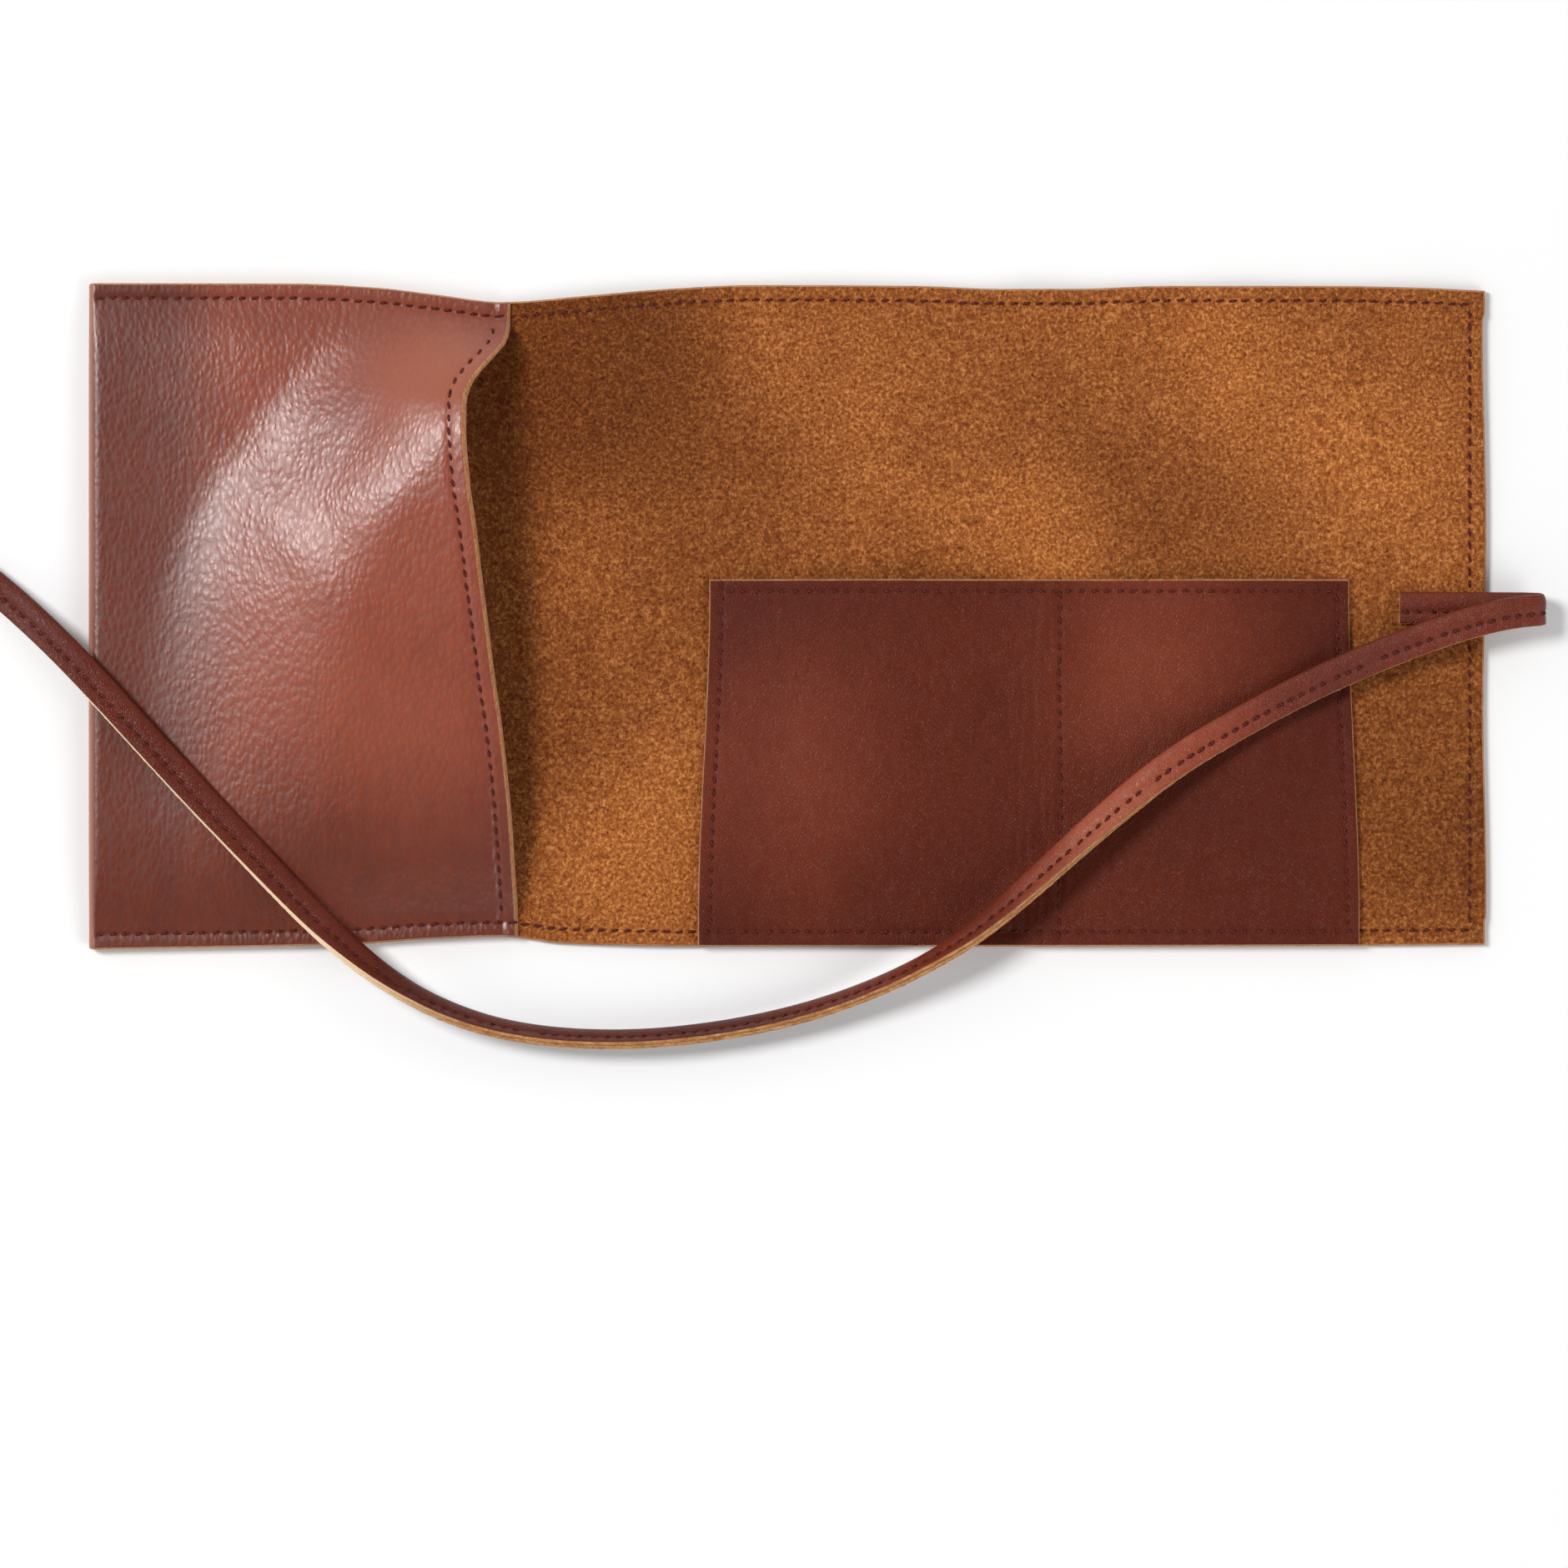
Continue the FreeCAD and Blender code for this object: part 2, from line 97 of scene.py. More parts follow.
# ------------------------------------------------------------------ node helpers
class Mat:
    """A small helper that builds a material's node tree."""

    def __init__(self, name):
        self.m = bpy.data.materials.new(name)
        self.m.use_nodes = True
        self.t = self.m.node_tree
        self.p = self.t.nodes["Principled BSDF"]
        self.coord = self.t.nodes.new("ShaderNodeTexCoord").outputs["Object"]

    def node(self, kind, **props):
        n = self.t.nodes.new(kind)
        for k, v in props.items():
            setattr(n, k, v)
        return n

    def put(self, socket, value):
        if hasattr(value, "is_output"):
            self.t.links.new(value, socket)
        else:
            socket.default_value = value

    def scaled(self, vec, scale, move=(0, 0, 0), turn=(0, 0, 0)):
        n = self.node("ShaderNodeMapping")
        self.put(n.inputs["Vector"], vec)
        n.inputs["Scale"].default_value = scale
        n.inputs["Location"].default_value = move
        n.inputs["Rotation"].default_value = turn
        return n.outputs[0]

    def noise(self, vec, scale, detail=3.0, rough=0.55, distortion=0.0):
        n = self.node("ShaderNodeTexNoise")
        self.put(n.inputs["Vector"], vec)
        n.inputs["Scale"].default_value = scale
        n.inputs["Detail"].default_value = detail
        n.inputs["Roughness"].default_value = rough
        n.inputs["Distortion"].default_value = distortion
        return n.outputs["Fac"]

    def cells(self, vec, scale, feature="DISTANCE_TO_EDGE", smooth=0.3, random=0.9):
        n = self.node("ShaderNodeTexVoronoi", feature=feature)
        self.put(n.inputs["Vector"], vec)
        n.inputs["Scale"].default_value = scale
        n.inputs["Randomness"].default_value = random
        if feature == "SMOOTH_F1":
            n.inputs["Smoothness"].default_value = smooth
        return n.outputs["Distance"]

    def math(self, op, a, b=0.0, c=0.0, clamp=False):
        n = self.node("ShaderNodeMath", operation=op, use_clamp=clamp)
        for s, v in zip(n.inputs, (a, b, c)):
            self.put(s, v)
        return n.outputs[0]

    def band(self, v, a, b, lo=0.0, hi=1.0, smooth=True):
        n = self.node("ShaderNodeMapRange", interpolation_type="SMOOTHSTEP" if smooth else "LINEAR")
        self.put(n.inputs["Value"], v)
        for key, value in (("From Min", a), ("From Max", b), ("To Min", lo), ("To Max", hi)):
            n.inputs[key].default_value = value
        return n.outputs["Result"]

    def ramp(self, v, stops):
        n = self.node("ShaderNodeValToRGB")
        e = n.color_ramp.elements
        while len(e) < len(stops):
            e.new(0.5)
        for el, (pos, col) in zip(e, stops):
            el.position, el.color = pos, (*col, 1.0)
        self.put(n.inputs[0], v)
        return n.outputs[0]

    def mix(self, fac, a, b, mode="MIX"):
        n = self.node("ShaderNodeMix", data_type="RGBA", blend_type=mode)
        self.put(n.inputs[0], fac)
        for s, v in ((n.inputs[6], a), (n.inputs[7], b)):
            self.put(s, v if hasattr(v, "is_output") else (*v, 1.0))
        return n.outputs[2]

    def near(self, centre, radius, soft):
        """1 close to a point of the object, 0 beyond it."""
        n = self.node("ShaderNodeVectorMath", operation="DISTANCE")
        self.put(n.inputs[0], self.coord)
        n.inputs[1].default_value = [c * MM for c in centre]
        return self.band(n.outputs["Value"], (radius + soft) * MM, radius * MM)

    def axis(self, k):
        n = self.node("ShaderNodeSeparateXYZ")
        self.put(n.inputs[0], self.coord)
        return n.outputs[k]

    def warp(self, vec, scale, amount):
        n = self.node("ShaderNodeTexNoise")
        self.put(n.inputs["Vector"], vec)
        n.inputs["Scale"].default_value = scale
        n.inputs["Detail"].default_value = 2.0
        s = self.node("ShaderNodeVectorMath", operation="MULTIPLY_ADD")
        self.put(s.inputs[0], n.outputs["Color"])
        s.inputs[1].default_value = (amount,) * 3
        self.put(s.inputs[2], vec)
        return s.outputs[0]

    def bump(self, height, distance, strength=1.0, under=None):
        n = self.node("ShaderNodeBump")
        self.put(n.inputs["Height"], height)
        n.inputs["Distance"].default_value = distance
        n.inputs["Strength"].default_value = strength
        if under is not None:
            self.put(n.inputs["Normal"], under)
        return n.outputs[0]

    def finish(self, color=None, rough=None, normal=None, **fixed):
        if color is not None:
            self.put(self.p.inputs["Base Color"], color)
        if rough is not None:
            self.put(self.p.inputs["Roughness"], rough)
        if normal is not None:
            self.put(self.p.inputs["Normal"], normal)
        for k, v in fixed.items():
            self.p.inputs[k.replace("_", " ")].default_value = v
        return self.m


# ------------------------------------------------------------------ materials
def pebbled_leather(name, deep, mid, high, taut_lit_colour, grain=1.0, rough=0.33):
    """Grained hide: elongated pebbles with creases between them, finer pores on top."""
    m = Mat(name)
    v = m.warp(m.scaled(m.coord, (1.0, 0.58, 1.0), turn=(0, 0, 0.12)), 210.0, 0.0016)
    dome = m.math("SUBTRACT", 1.0, m.cells(v, 900.0, "SMOOTH_F1", 0.40, 1.0), clamp=True)
    small = m.math("SUBTRACT", 1.0, m.cells(m.scaled(m.coord, (1.0, 0.8, 1.0), move=(0.3, 0.1, 0)), 1500.0,
                                            "SMOOTH_F1", 0.4, 1.0), clamp=True)
    streak = m.noise(m.scaled(m.coord, (1.0, 0.36, 1.0), turn=(0, 0, 0.06)), 360.0, 3.0, 0.55)
    pores = m.noise(m.coord, 3600.0, 2.0, 0.6)
    height = m.math("MULTIPLY_ADD", dome, 0.78, m.math("MULTIPLY", small, 0.16))
    height = m.math("MULTIPLY_ADD", streak, 0.36, height)
    height = m.math("MULTIPLY_ADD", pores, 0.05, height)
    soft = m.noise(m.coord, 24.0, 3.0, 0.5)
    tone = m.math("MULTIPLY_ADD", streak, 0.30, m.math("MULTIPLY", soft, 0.75))
    color = m.ramp(tone, [(0.30, deep), (0.53, mid), (0.80, high)])
    color = m.mix(m.band(dome, 0.72, 0.40, 0.0, 0.30), color, m.mix(1.0, color, (0.52, 0.42, 0.38), "MULTIPLY"))
    # the leather is darker by the fold, towards the lower seam and along the top: partly its own tone, partly painted
    # shade
    left = m.band(m.axis(0), -0.121, -0.143, 0.0, 0.85)
    low = m.band(m.axis(1), -0.018, -0.062, 0.0, 0.72)
    up = m.band(m.axis(1), 0.052, 0.068, 0.0, 0.30)
    color = m.mix(m.math("MAXIMUM", m.math("MAXIMUM", left, low), up), color,
                  m.mix(1.0, color, (0.42, 0.34, 0.30), "MULTIPLY"))
    # painted highlight: a paler line along the rounded fold
    painted_fold_highlight = m.band(m.axis(0), -0.1582, -0.1597, 0.0, 0.55)
    color = m.mix(painted_fold_highlight, color, (0.46, 0.20, 0.13))
    # over the top corner of the mouth the leather is smoother, and a warmer, brighter patch is painted there: partly
    # painted light, partly the stretched leather's own tone
    tight_lit_patch = m.math("MULTIPLY", m.near((-79, 57, 15), 4, 20), 0.70)
    color = m.mix(tight_lit_patch, color, taut_lit_colour)
    fade = m.math("SUBTRACT", 1.0, m.math("ADD", m.math("MULTIPLY", tight_lit_patch, 0.50), m.math("MULTIPLY", left, 0.55)))
    height = m.math("MULTIPLY", height, fade)
    r = m.band(m.math("ADD", dome, m.math("MULTIPLY", pores, 0.35)), 0.45, 1.15, rough + 0.08, rough - 0.03)
    return m.finish(color, r, m.bump(height, 0.00020 * grain, 0.75), Specular_IOR_Level=0.60)


def smooth_leather(name, deep, mid, high, rough=0.40, crease=0.0, worn=None, painted_highlights=(), shine=0.3):
    """Smoother, darker leather with a fine grain and faint wrinkles across the roll."""
    m = Mat(name)
    v = m.warp(m.coord, 260.0, 0.0011)
    fine = m.band(m.cells(v, 1750.0), 0.0, 0.32)
    wrinkle = m.noise(m.scaled(m.coord, (1.0, 0.48, 1.0)), 400.0, 4.0, 0.58, 0.5)
    pores = m.noise(m.coord, 5200.0, 2.0, 0.6)
    soft = m.noise(m.scaled(m.coord, (1.0, 0.75, 1.0)), 19.0, 3.0, 0.5)
    height = m.math("MULTIPLY_ADD", fine, 0.24, m.math("MULTIPLY", pores, 0.10))
    where = m.band(m.noise(m.coord, 32.0, 2.0), 0.38, 0.68, 0.45, 1.0)
    if crease:
        bent = m.band(m.math("ABSOLUTE", m.math("SUBTRACT", m.axis(0), 0.0565)), 0.011, 0.002)
        where = m.math("MAXIMUM", where, m.math("MULTIPLY", bent, crease))
    height = m.math("MULTIPLY_ADD", m.math("MULTIPLY", wrinkle, where), 0.95, height)
    tone = m.math("MULTIPLY_ADD", soft, 0.75, m.math("MULTIPLY", wrinkle, 0.28))
    color = m.ramp(tone, [(0.30, deep), (0.52, mid), (0.78, high)])
    color = m.mix(m.math("MULTIPLY", m.math("SUBTRACT", 1.0, fine, clamp=True), 0.25), color,
                  m.mix(1.0, color, (0.6, 0.5, 0.48), "MULTIPLY"))
    if worn:
        color = m.mix(m.band(m.noise(m.coord, 95.0, 4.0, 0.65), 0.62, 0.80, 0.0, 0.30), color, worn)
    # the strap is darker towards the left: partly painted shade, partly its own tone
    if name == "strap_leather":
        color = m.mix(m.band(m.axis(0), 0.030, -0.030, 0.0, 0.9), color, m.mix(1.0, color, (0.66, 0.52, 0.44), "MULTIPLY"))
    # painted highlights: brighter patches at set places on the surface
    for centre, radius, soften, amount in painted_highlights:
        color = m.mix(m.math("MULTIPLY", m.near(centre, radius, soften), amount), color,
                      m.mix(1.0, color, (1.75, 2.1, 2.2), "MULTIPLY"))
    r = m.band(m.math("ADD", soft, m.math("MULTIPLY", wrinkle, 0.3)), 0.4, 0.9, rough + 0.07, rough - 0.05)
    return m.finish(color, r, m.bump(height, 0.00030, 0.9), Specular_IOR_Level=shine)


def suede(name):
    """Napped inside: speckled fibres, brushed brighter in patches; painted sheen and painted shade in set patches, and
    a painted shadow by the wide pocket's mouth.
    """
    m = Mat(name)
    speck = m.noise(m.warp(m.coord, 700.0, 0.0009), 1200.0, 4.0, 0.74)
    fibre = m.noise(m.scaled(m.coord, (1.0, 0.55, 1.0), turn=(0, 0, 0.5)), 2300.0, 3.0, 0.7)
    brushed = m.noise(m.warp(m.coord, 14.0, 0.02), 21.0, 4.0, 0.55)
    tone = m.math("MULTIPLY_ADD", speck, 0.85, m.math("MULTIPLY", fibre, 0.30))
    base = m.ramp(tone, [(0.38, (0.055, 0.011, 0.0020)), (0.50, (0.200, 0.052, 0.0110)),
                         (0.60, (0.305, 0.096, 0.0225)), (0.72, (0.55, 0.225, 0.068))])
    light = m.mix(1.0, base, (1.16, 1.15, 1.12), "MULTIPLY")
    dark = m.mix(1.0, base, (0.84, 0.79, 0.74), "MULTIPLY")
    color = m.mix(m.band(brushed, 0.36, 0.66), dark, light)
    # painted sheen: brighter patches where the nap catches the light, partly the suede's own tone
    for centre, radius, soft, amount in (((112, 52, 2), 7, 26, 0.45), ((134, 36, 2), 5, 22, 0.40),
                                         ((61, 22, 3), 4, 17, 0.50), ((-34, -56, 2), 8, 26, 0.50)):
        color = m.mix(m.math("MULTIPLY", m.near(centre, radius, soft), amount), color,
                      m.mix(1.0, base, (1.55, 1.60, 1.55), "MULTIPLY"))
    # painted shade: darker patches at set places, partly the suede's own uneven tone
    for centre, radius, soft, amount in (((150, -38, 2), 14, 34, 0.62), ((-46, 60, 2), 16, 28, 0.85), ((-14, 26, 2), 8, 34, 0.45),
                                         ((84, 30, 3), 6, 24, 0.30)):
        color = m.mix(m.math("MULTIPLY", m.near(centre, radius, soft), amount), color,
                      m.mix(1.0, base, (0.42, 0.34, 0.26), "MULTIPLY"))
    # painted shadow: darker to the right of the wide pocket's mouth, in its lower half
    shade = m.math("MULTIPLY", m.band(m.axis(0), -0.030, -0.068), m.band(m.axis(1), -0.066, -0.030))
    color = m.mix(m.math("MULTIPLY", shade, 0.55), color, m.mix(1.0, base, (0.55, 0.42, 0.32), "MULTIPLY"))
    height = m.math("MULTIPLY_ADD", speck, 0.9, m.math("MULTIPLY", fibre, 0.5))
    m.p.inputs["Sheen Tint"].default_value = (1.0, 0.72, 0.45, 1.0)
    return m.finish(color, 0.92, m.bump(height, 0.00058, 0.9), Specular_IOR_Level=0.12,
                    Sheen_Weight=0.10, Sheen_Roughness=0.45)


def raw_edge(name, a, b, c, painted_edge_highlight=None):
    """Cut edge of leather: compressed fibres in layers."""
    m = Mat(name)
    fibre = m.noise(m.scaled(m.coord, (0.35, 0.35, 3.0)), 900.0, 4.0, 0.7)
    tuft = m.noise(m.coord, 1900.0, 3.0, 0.7)
    color = m.ramp(m.math("MULTIPLY_ADD", fibre, 0.6, m.math("MULTIPLY", tuft, 0.5)),
                   [(0.36, a), (0.54, b), (0.74, c)])
    # painted highlight: the cut edge is made paler towards the left
    if painted_edge_highlight:
        color = m.mix(m.band(m.axis(0), -0.070, -0.110, 0.0, 0.85), color, painted_edge_highlight)
    return m.finish(color, 0.85, m.bump(m.math("ADD", fibre, tuft), 0.00022, 0.8), Specular_IOR_Level=0.2,
                    Sheen_Weight=0.15)


def thread(name, a, b):
    """Waxed sewing thread with a twist."""
    m = Mat(name)
    w = m.node("ShaderNodeTexWave", wave_type="BANDS", bands_direction="DIAGONAL")
    m.put(w.inputs["Vector"], m.coord)
    w.inputs["Scale"].default_value = 520.0
    w.inputs["Distortion"].default_value = 1.5
    fluff = m.noise(m.coord, 4200.0, 2.0)
    twist = w.outputs["Fac"]
    color = m.ramp(m.math("MULTIPLY_ADD", twist, 0.5, m.math("MULTIPLY", fluff, 0.5)), [(0.25, a), (0.75, b)])
    return m.finish(color, m.band(fluff, 0.3, 0.7, 0.45, 0.60), m.bump(twist, 0.00012, 0.7),
                    Specular_IOR_Level=0.15)


hide_mat = pebbled_leather("grained_hide", (0.176, 0.0320, 0.0140), (0.238, 0.0490, 0.0230), (0.285, 0.067, 0.034),
                           (0.285, 0.066, 0.025))
outside_mat = smooth_leather("hide_outside", (0.105, 0.020, 0.011), (0.155, 0.034, 0.019), (0.205, 0.052, 0.030), 0.42)
slip_mat = smooth_leather("slip_pocket_leather", (0.062, 0.0080, 0.0030), (0.090, 0.0132, 0.0050), (0.126, 0.0215, 0.0092),
                          0.38, crease=1.3, shine=0.13,
                          painted_highlights=(((84, -6, 5), 4, 40, 0.68), ((-6, -38, 5), 4, 40, 0.60), ((20, 0, 5), 4, 30, 0.20)))
strap_mat = smooth_leather("strap_leather", (0.078, 0.0100, 0.0035), (0.138, 0.0215, 0.0085), (0.205, 0.042, 0.0185),
                           0.37, worn=(0.26, 0.075, 0.035), shine=0.24,
                           painted_highlights=(((86, -35, 9), 9, 26, 1.0), ((62, -56, 9), 4, 18, 0.5)))
suede_mat = suede("suede_inside")
edge_mat = raw_edge("cut_edge", (0.16, 0.050, 0.016), (0.36, 0.145, 0.052), (0.56, 0.29, 0.13))
gold_mat = raw_edge("strap_cut_edge", (0.17, 0.058, 0.016), (0.37, 0.160, 0.052), (0.58, 0.32, 0.13),
                    painted_edge_highlight=(0.86, 0.66, 0.42))
thread_mat = thread("maroon_thread", (0.030, 0.0035, 0.0020), (0.120, 0.017, 0.0095))


# ------------------------------------------------------------------ mesh helpers
def curve_of(points):
    """A smooth function through (x, y) pairs."""
    px, py = (np.array(a, float) for a in zip(*points))
    d = np.diff(py) / np.diff(px)
    m = np.concatenate([[d[0]], np.where(d[:-1] * d[1:] > 0, 2 * d[:-1] * d[1:] / (d[:-1] + d[1:] + 1e-12), 0.0), [d[-1]]])

    def at(x):
        x = np.clip(np.asarray(x, float), px[0], px[-1])
        i = np.clip(np.searchsorted(px, x) - 1, 0, len(px) - 2)
        w = px[i + 1] - px[i]
        t = (x - px[i]) / w
        return ((2 * t**3 - 3 * t**2 + 1) * py[i] + (t**3 - 2 * t**2 + t) * w * m[i]
                + (-2 * t**3 + 3 * t**2) * py[i + 1] + (t**3 - t**2) * w * m[i + 1])
    return at


def step01(t):
    t = np.clip(t, 0, 1)
    return t * t * (3 - 2 * t)


def gauss(d, s):
    return np.exp(-(d / s) ** 2)


def normals(P):
    du, dv = np.gradient(P, axis=0), np.gradient(P, axis=1)
    n = np.cross(du, dv)
    return n / np.maximum(np.linalg.norm(n, axis=2, keepdims=True), 1e-12)


def make(name, verts, faces, mats, index, smooth=True, sharp=None):
    mesh = bpy.data.meshes.new(name)
    mesh.from_pydata((np.asarray(verts) * MM).tolist(), [], [tuple(f) for f in faces])
    for m in mats:
        mesh.materials.append(m)
    mesh.polygons.foreach_set("material_index", np.asarray(index, np.int32))
    mesh.polygons.foreach_set("use_smooth", np.full(len(mesh.polygons), smooth))
    mesh.validate()
    mesh.update()
    if sharp is not None and len(sharp):
        ends = np.zeros(len(mesh.edges) * 2, np.int64)
        mesh.edges.foreach_get("vertices", ends)
        ends = np.sort(ends.reshape(-1, 2), axis=1)
        key = ends[:, 0] * len(verts) + ends[:, 1]
        want = np.sort(np.asarray(sharp, np.int64), axis=1)
        hard = np.isin(key, want[:, 0] * len(verts) + want[:, 1])
        mesh.edges.foreach_set("use_edge_sharp", hard)
        mesh.update()
    obj = bpy.data.objects.new(name, mesh)
    scene.collection.objects.link(obj)
    return obj


RIM = 3


def sheet_mesh(name, TOP, BOT, mats, raw, slant=(0, 0, 0, 0), bulge=0.28):
    """A closed sheet between two grids. raw says which of the sides u0, u1, v0, v1 are cut edges, which are a little rounded;
    the others meet the next piece. mats: top, underside, edge. Faces look outwards when TOP's normals point out."""
    nu, nv = TOP.shape[:2]
    TOP, BOT = TOP.copy(), BOT.copy()
    out = {0: TOP[0] - TOP[1], 1: TOP[-1] - TOP[-2], 2: TOP[:, 0] - TOP[:, 1], 3: TOP[:, -1] - TOP[:, -2]}
    for k in out:
        out[k] = out[k] / np.maximum(np.linalg.norm(out[k], axis=1, keepdims=True), 1e-9)
    for k, target in ((0, (slice(0, 1), slice(None))), (1, (slice(-1, None), slice(None)))):
        if slant[k]:
            BOT[target][0] += out[k] * slant[k]
    if slant[2]:
        BOT[:, 0] += out[2] * slant[2]
    if slant[3]:
        BOT[:, -1] += out[3] * slant[3]
    loop = [(i, 0) for i in range(nu)] + [(nu - 1, j) for j in range(1, nv)] \
        + [(i, nv - 1) for i in range(nu - 2, -1, -1)] + [(0, j) for j in range(nv - 2, 0, -1)]
    push = np.zeros((len(loop), 3))
    side_of = []
    for n, (i, j) in enumerate(loop):
        for k, on, r in ((0, i == 0, j), (1, i == nu - 1, j), (2, j == 0, i), (3, j == nv - 1, i)):
            if on and raw[k]:
                push[n] += out[k][r]
    for n in range(len(loop)):
        (i, j), (a, b) = loop[n], loop[(n + 1) % len(loop)]
        side = 2 if j == b == 0 else 1 if i == a == nu - 1 else 3 if j == b == nv - 1 else 0
        side_of.append(raw[side])
    verts = [TOP.reshape(-1, 3), BOT.reshape(-1, 3)]
    base, total = nu * nv, 2 * nu * nv
    tops = np.array([i * nv + j for i, j in loop])
    rings = [tops]
    T, B = TOP.reshape(-1, 3)[tops], BOT.reshape(-1, 3)[tops]
    for r in range(1, RIM + 1):
        f = r / (RIM + 1)
        verts.append(T + (B - T) * f + push * bulge * math.sin(math.pi * f))
        rings.append(np.arange(total, total + len(loop)))
        total += len(loop)
    rings.append(tops + base)
    i, j = np.meshgrid(np.arange(nu - 1), np.arange(nv - 1), indexing="ij")
    a = (i * nv + j).ravel()
    quads_top = np.stack([a, a + nv, a + nv + 1, a + 1], 1)
    quads_bot = np.stack([a + base, a + base + 1, a + base + nv + 1, a + base + nv], 1)
    n = np.arange(len(loop))
    m = (n + 1) % len(loop)
    wall = [np.stack([rings[r][n], rings[r + 1][n], rings[r + 1][m], rings[r][m]], 1) for r in range(RIM + 1)]
    faces = np.concatenate([quads_top, quads_bot] + wall)
    cut = ~np.array(side_of)
    sharp = np.concatenate([np.stack([rings[0][n], rings[0][m]], 1)[cut], np.stack([rings[-1][n], rings[-1][m]], 1)[cut]])
    index = np.concatenate([np.zeros(len(quads_top)), np.ones(len(quads_bot)),
                            np.tile(np.where(side_of, 2, 0), RIM + 1)])
    return make(name, np.concatenate(verts), faces, mats, index, sharp=sharp)


class Stitches:
    """Single stitches of thread, gathered into one mesh per seam and zone."""

    def __init__(self, seed):
        self.rng = np.random.default_rng(seed)
        self.v, self.f, self.count = [], [], 0

    def add(self, P, T, N, length=2.35, radius=0.36, slant=0.16, sink=0.10, proud=0.30):
        P, T, N = (np.asarray(a, float) for a in (P, T, N))
        N = N / np.linalg.norm(N)
        T = T - N * (T @ N)
        T = T / np.linalg.norm(T)
        S = np.cross(N, T)
        a = slant + self.rng.normal(0, 0.05)
        T, S = T * math.cos(a) + S * math.sin(a), S * math.cos(a) - T * math.sin(a)
        length *= 1 + self.rng.normal(0, 0.04)
        P = P + S * self.rng.normal(0, 0.05)
        rows, sides = 7, 7
        at = np.linspace(-1, 1, rows)
        mid = P + np.outer(at * length / 2, T) + np.outer(np.cos(at * math.pi / 2) ** 0.8 * (proud + sink) - sink - radius * 0.55, N)
        r = radius * (0.62 + 0.38 * np.cos(at * math.pi / 2))
        ang = np.arange(sides) / sides * 2 * math.pi
        ring = mid[:, None] + (np.cos(ang)[None, :, None] * S + np.sin(ang)[None, :, None] * N * 0.85) * r[:, None, None]
        self.v.append(ring.reshape(-1, 3))
        c = self.count
        for i in range(rows - 1):
            for k in range(sides):
                n = (k + 1) % sides
                self.f.append((c + i * sides + k, c + i * sides + n, c + (i + 1) * sides + n, c + (i + 1) * sides + k))
        self.f.append(tuple(c + k for k in reversed(range(sides))))
        self.f.append(tuple(c + (rows - 1) * sides + k for k in range(sides)))
        self.count += rows * sides

    def object(self, name):
        return make(name, np.concatenate(self.v), self.f, [thread_mat], np.zeros(len(self.f)))


# ------------------------------------------------------------------ the strap
# Points of the strap's middle, in mm, with how far its cut edge is tipped up, in degrees.
ROUTE = [
    (160.0, 1.9, 2.9, 0), (165.0, 1.9, 2.9, 0), (172.8, 1.8, 3.0, 0), (173.2, 1.4, 7.4, 0),
    (164.8, 0.6, 7.6, 0), (152.6, -2.6, 6.9, 0), (137.0, -8.4, 5.9, 0), (120.4, -15.6, 5.9, 2),
    (104.5, -24.0, 7.4, 5), (88.0, -33.8, 9.2, 12), (73.0, -46.0, 9.4, 26), (60.2, -57.6, 8.6, 40),
    (49.8, -67.0, 8.6, 50), (38.6, -75.8, 8.4, 58), (22.6, -84.4, 5.4, 62), (3.0, -91.4, 4.0, 63),
    (-19.6, -95.8, 4.0, 64), (-41.6, -97.2, 4.0, 64), (-62.6, -95.4, 4.1, 62), (-78.6, -90.4, 5.4, 56),
    (-91.2, -83.2, 8.2, 46), (-101.6, -74.8, 9.4, 36), (-111.8, -65.0, 9.0, 26), (-122.8, -53.3, 9.2, 18),
    (-134.4, -41.2, 9.0, 14), (-146.8, -27.8, 8.6, 12), (-158.0, -15.4, 8.4, 10), (-168.4, -4.6, 6.8, 8),
    (-181.0, 6.6, 2.6, 4), (-197.6, 18.6, 1.95, 0), (-213.6, 28.4, 2.05, 0),
]
STRAP_W, STRAP_T = (hi_anchor.y - lo_anchor.y) / MM, 2.3


def nurbs_line(name, points):
    """The points of a smooth NURBS curve with these control points, in mm."""
    data = bpy.data.curves.new(name, "CURVE")
    data.dimensions = "3D"
    data.resolution_u = 24
    s = data.splines.new("NURBS")
    s.points.add(len(points) - 1)
    for p, q in zip(s.points, points):
        p.co = (q[0] * MM, q[1] * MM, q[2] * MM, 1.0)
    s.order_u = 3
    s.use_endpoint_u = True
    obj = bpy.data.objects.new(name, data)
    mesh = bpy.data.meshes.new_from_object(obj)
    line = np.array([v.co for v in mesh.vertices], float) / MM
    bpy.data.objects.remove(obj)
    bpy.data.curves.remove(data)
    bpy.data.meshes.remove(mesh)
    return line


def run_along(line, step):
    d = np.concatenate([[0], np.cumsum(np.linalg.norm(np.diff(line, axis=0), axis=1))])
    at = np.linspace(0, d[-1], max(2, int(round(d[-1] / step)) + 1))
    return np.stack([np.interp(at, d, line[:, k]) for k in range(3)], 1), at


strap_line, strap_at = run_along(nurbs_line("strap_route", ROUTE), 0.7)
tips = []
for x, y, z, tilt in ROUTE:
    n = int(np.argmin(np.linalg.norm(strap_line - (x, y, z), axis=1)))
    tips.append((strap_at[max(n, (tips[-1][2] + 1) if tips else 0) if n < len(strap_at) - 1 else n], tilt, n))
tilt = np.radians(np.interp(strap_at, [t[0] for t in tips], [t[1] for t in tips]))
kernel = np.ones(15) / 15
tilt = np.convolve(np.pad(tilt, 7, mode="edge"), kernel, mode="valid")


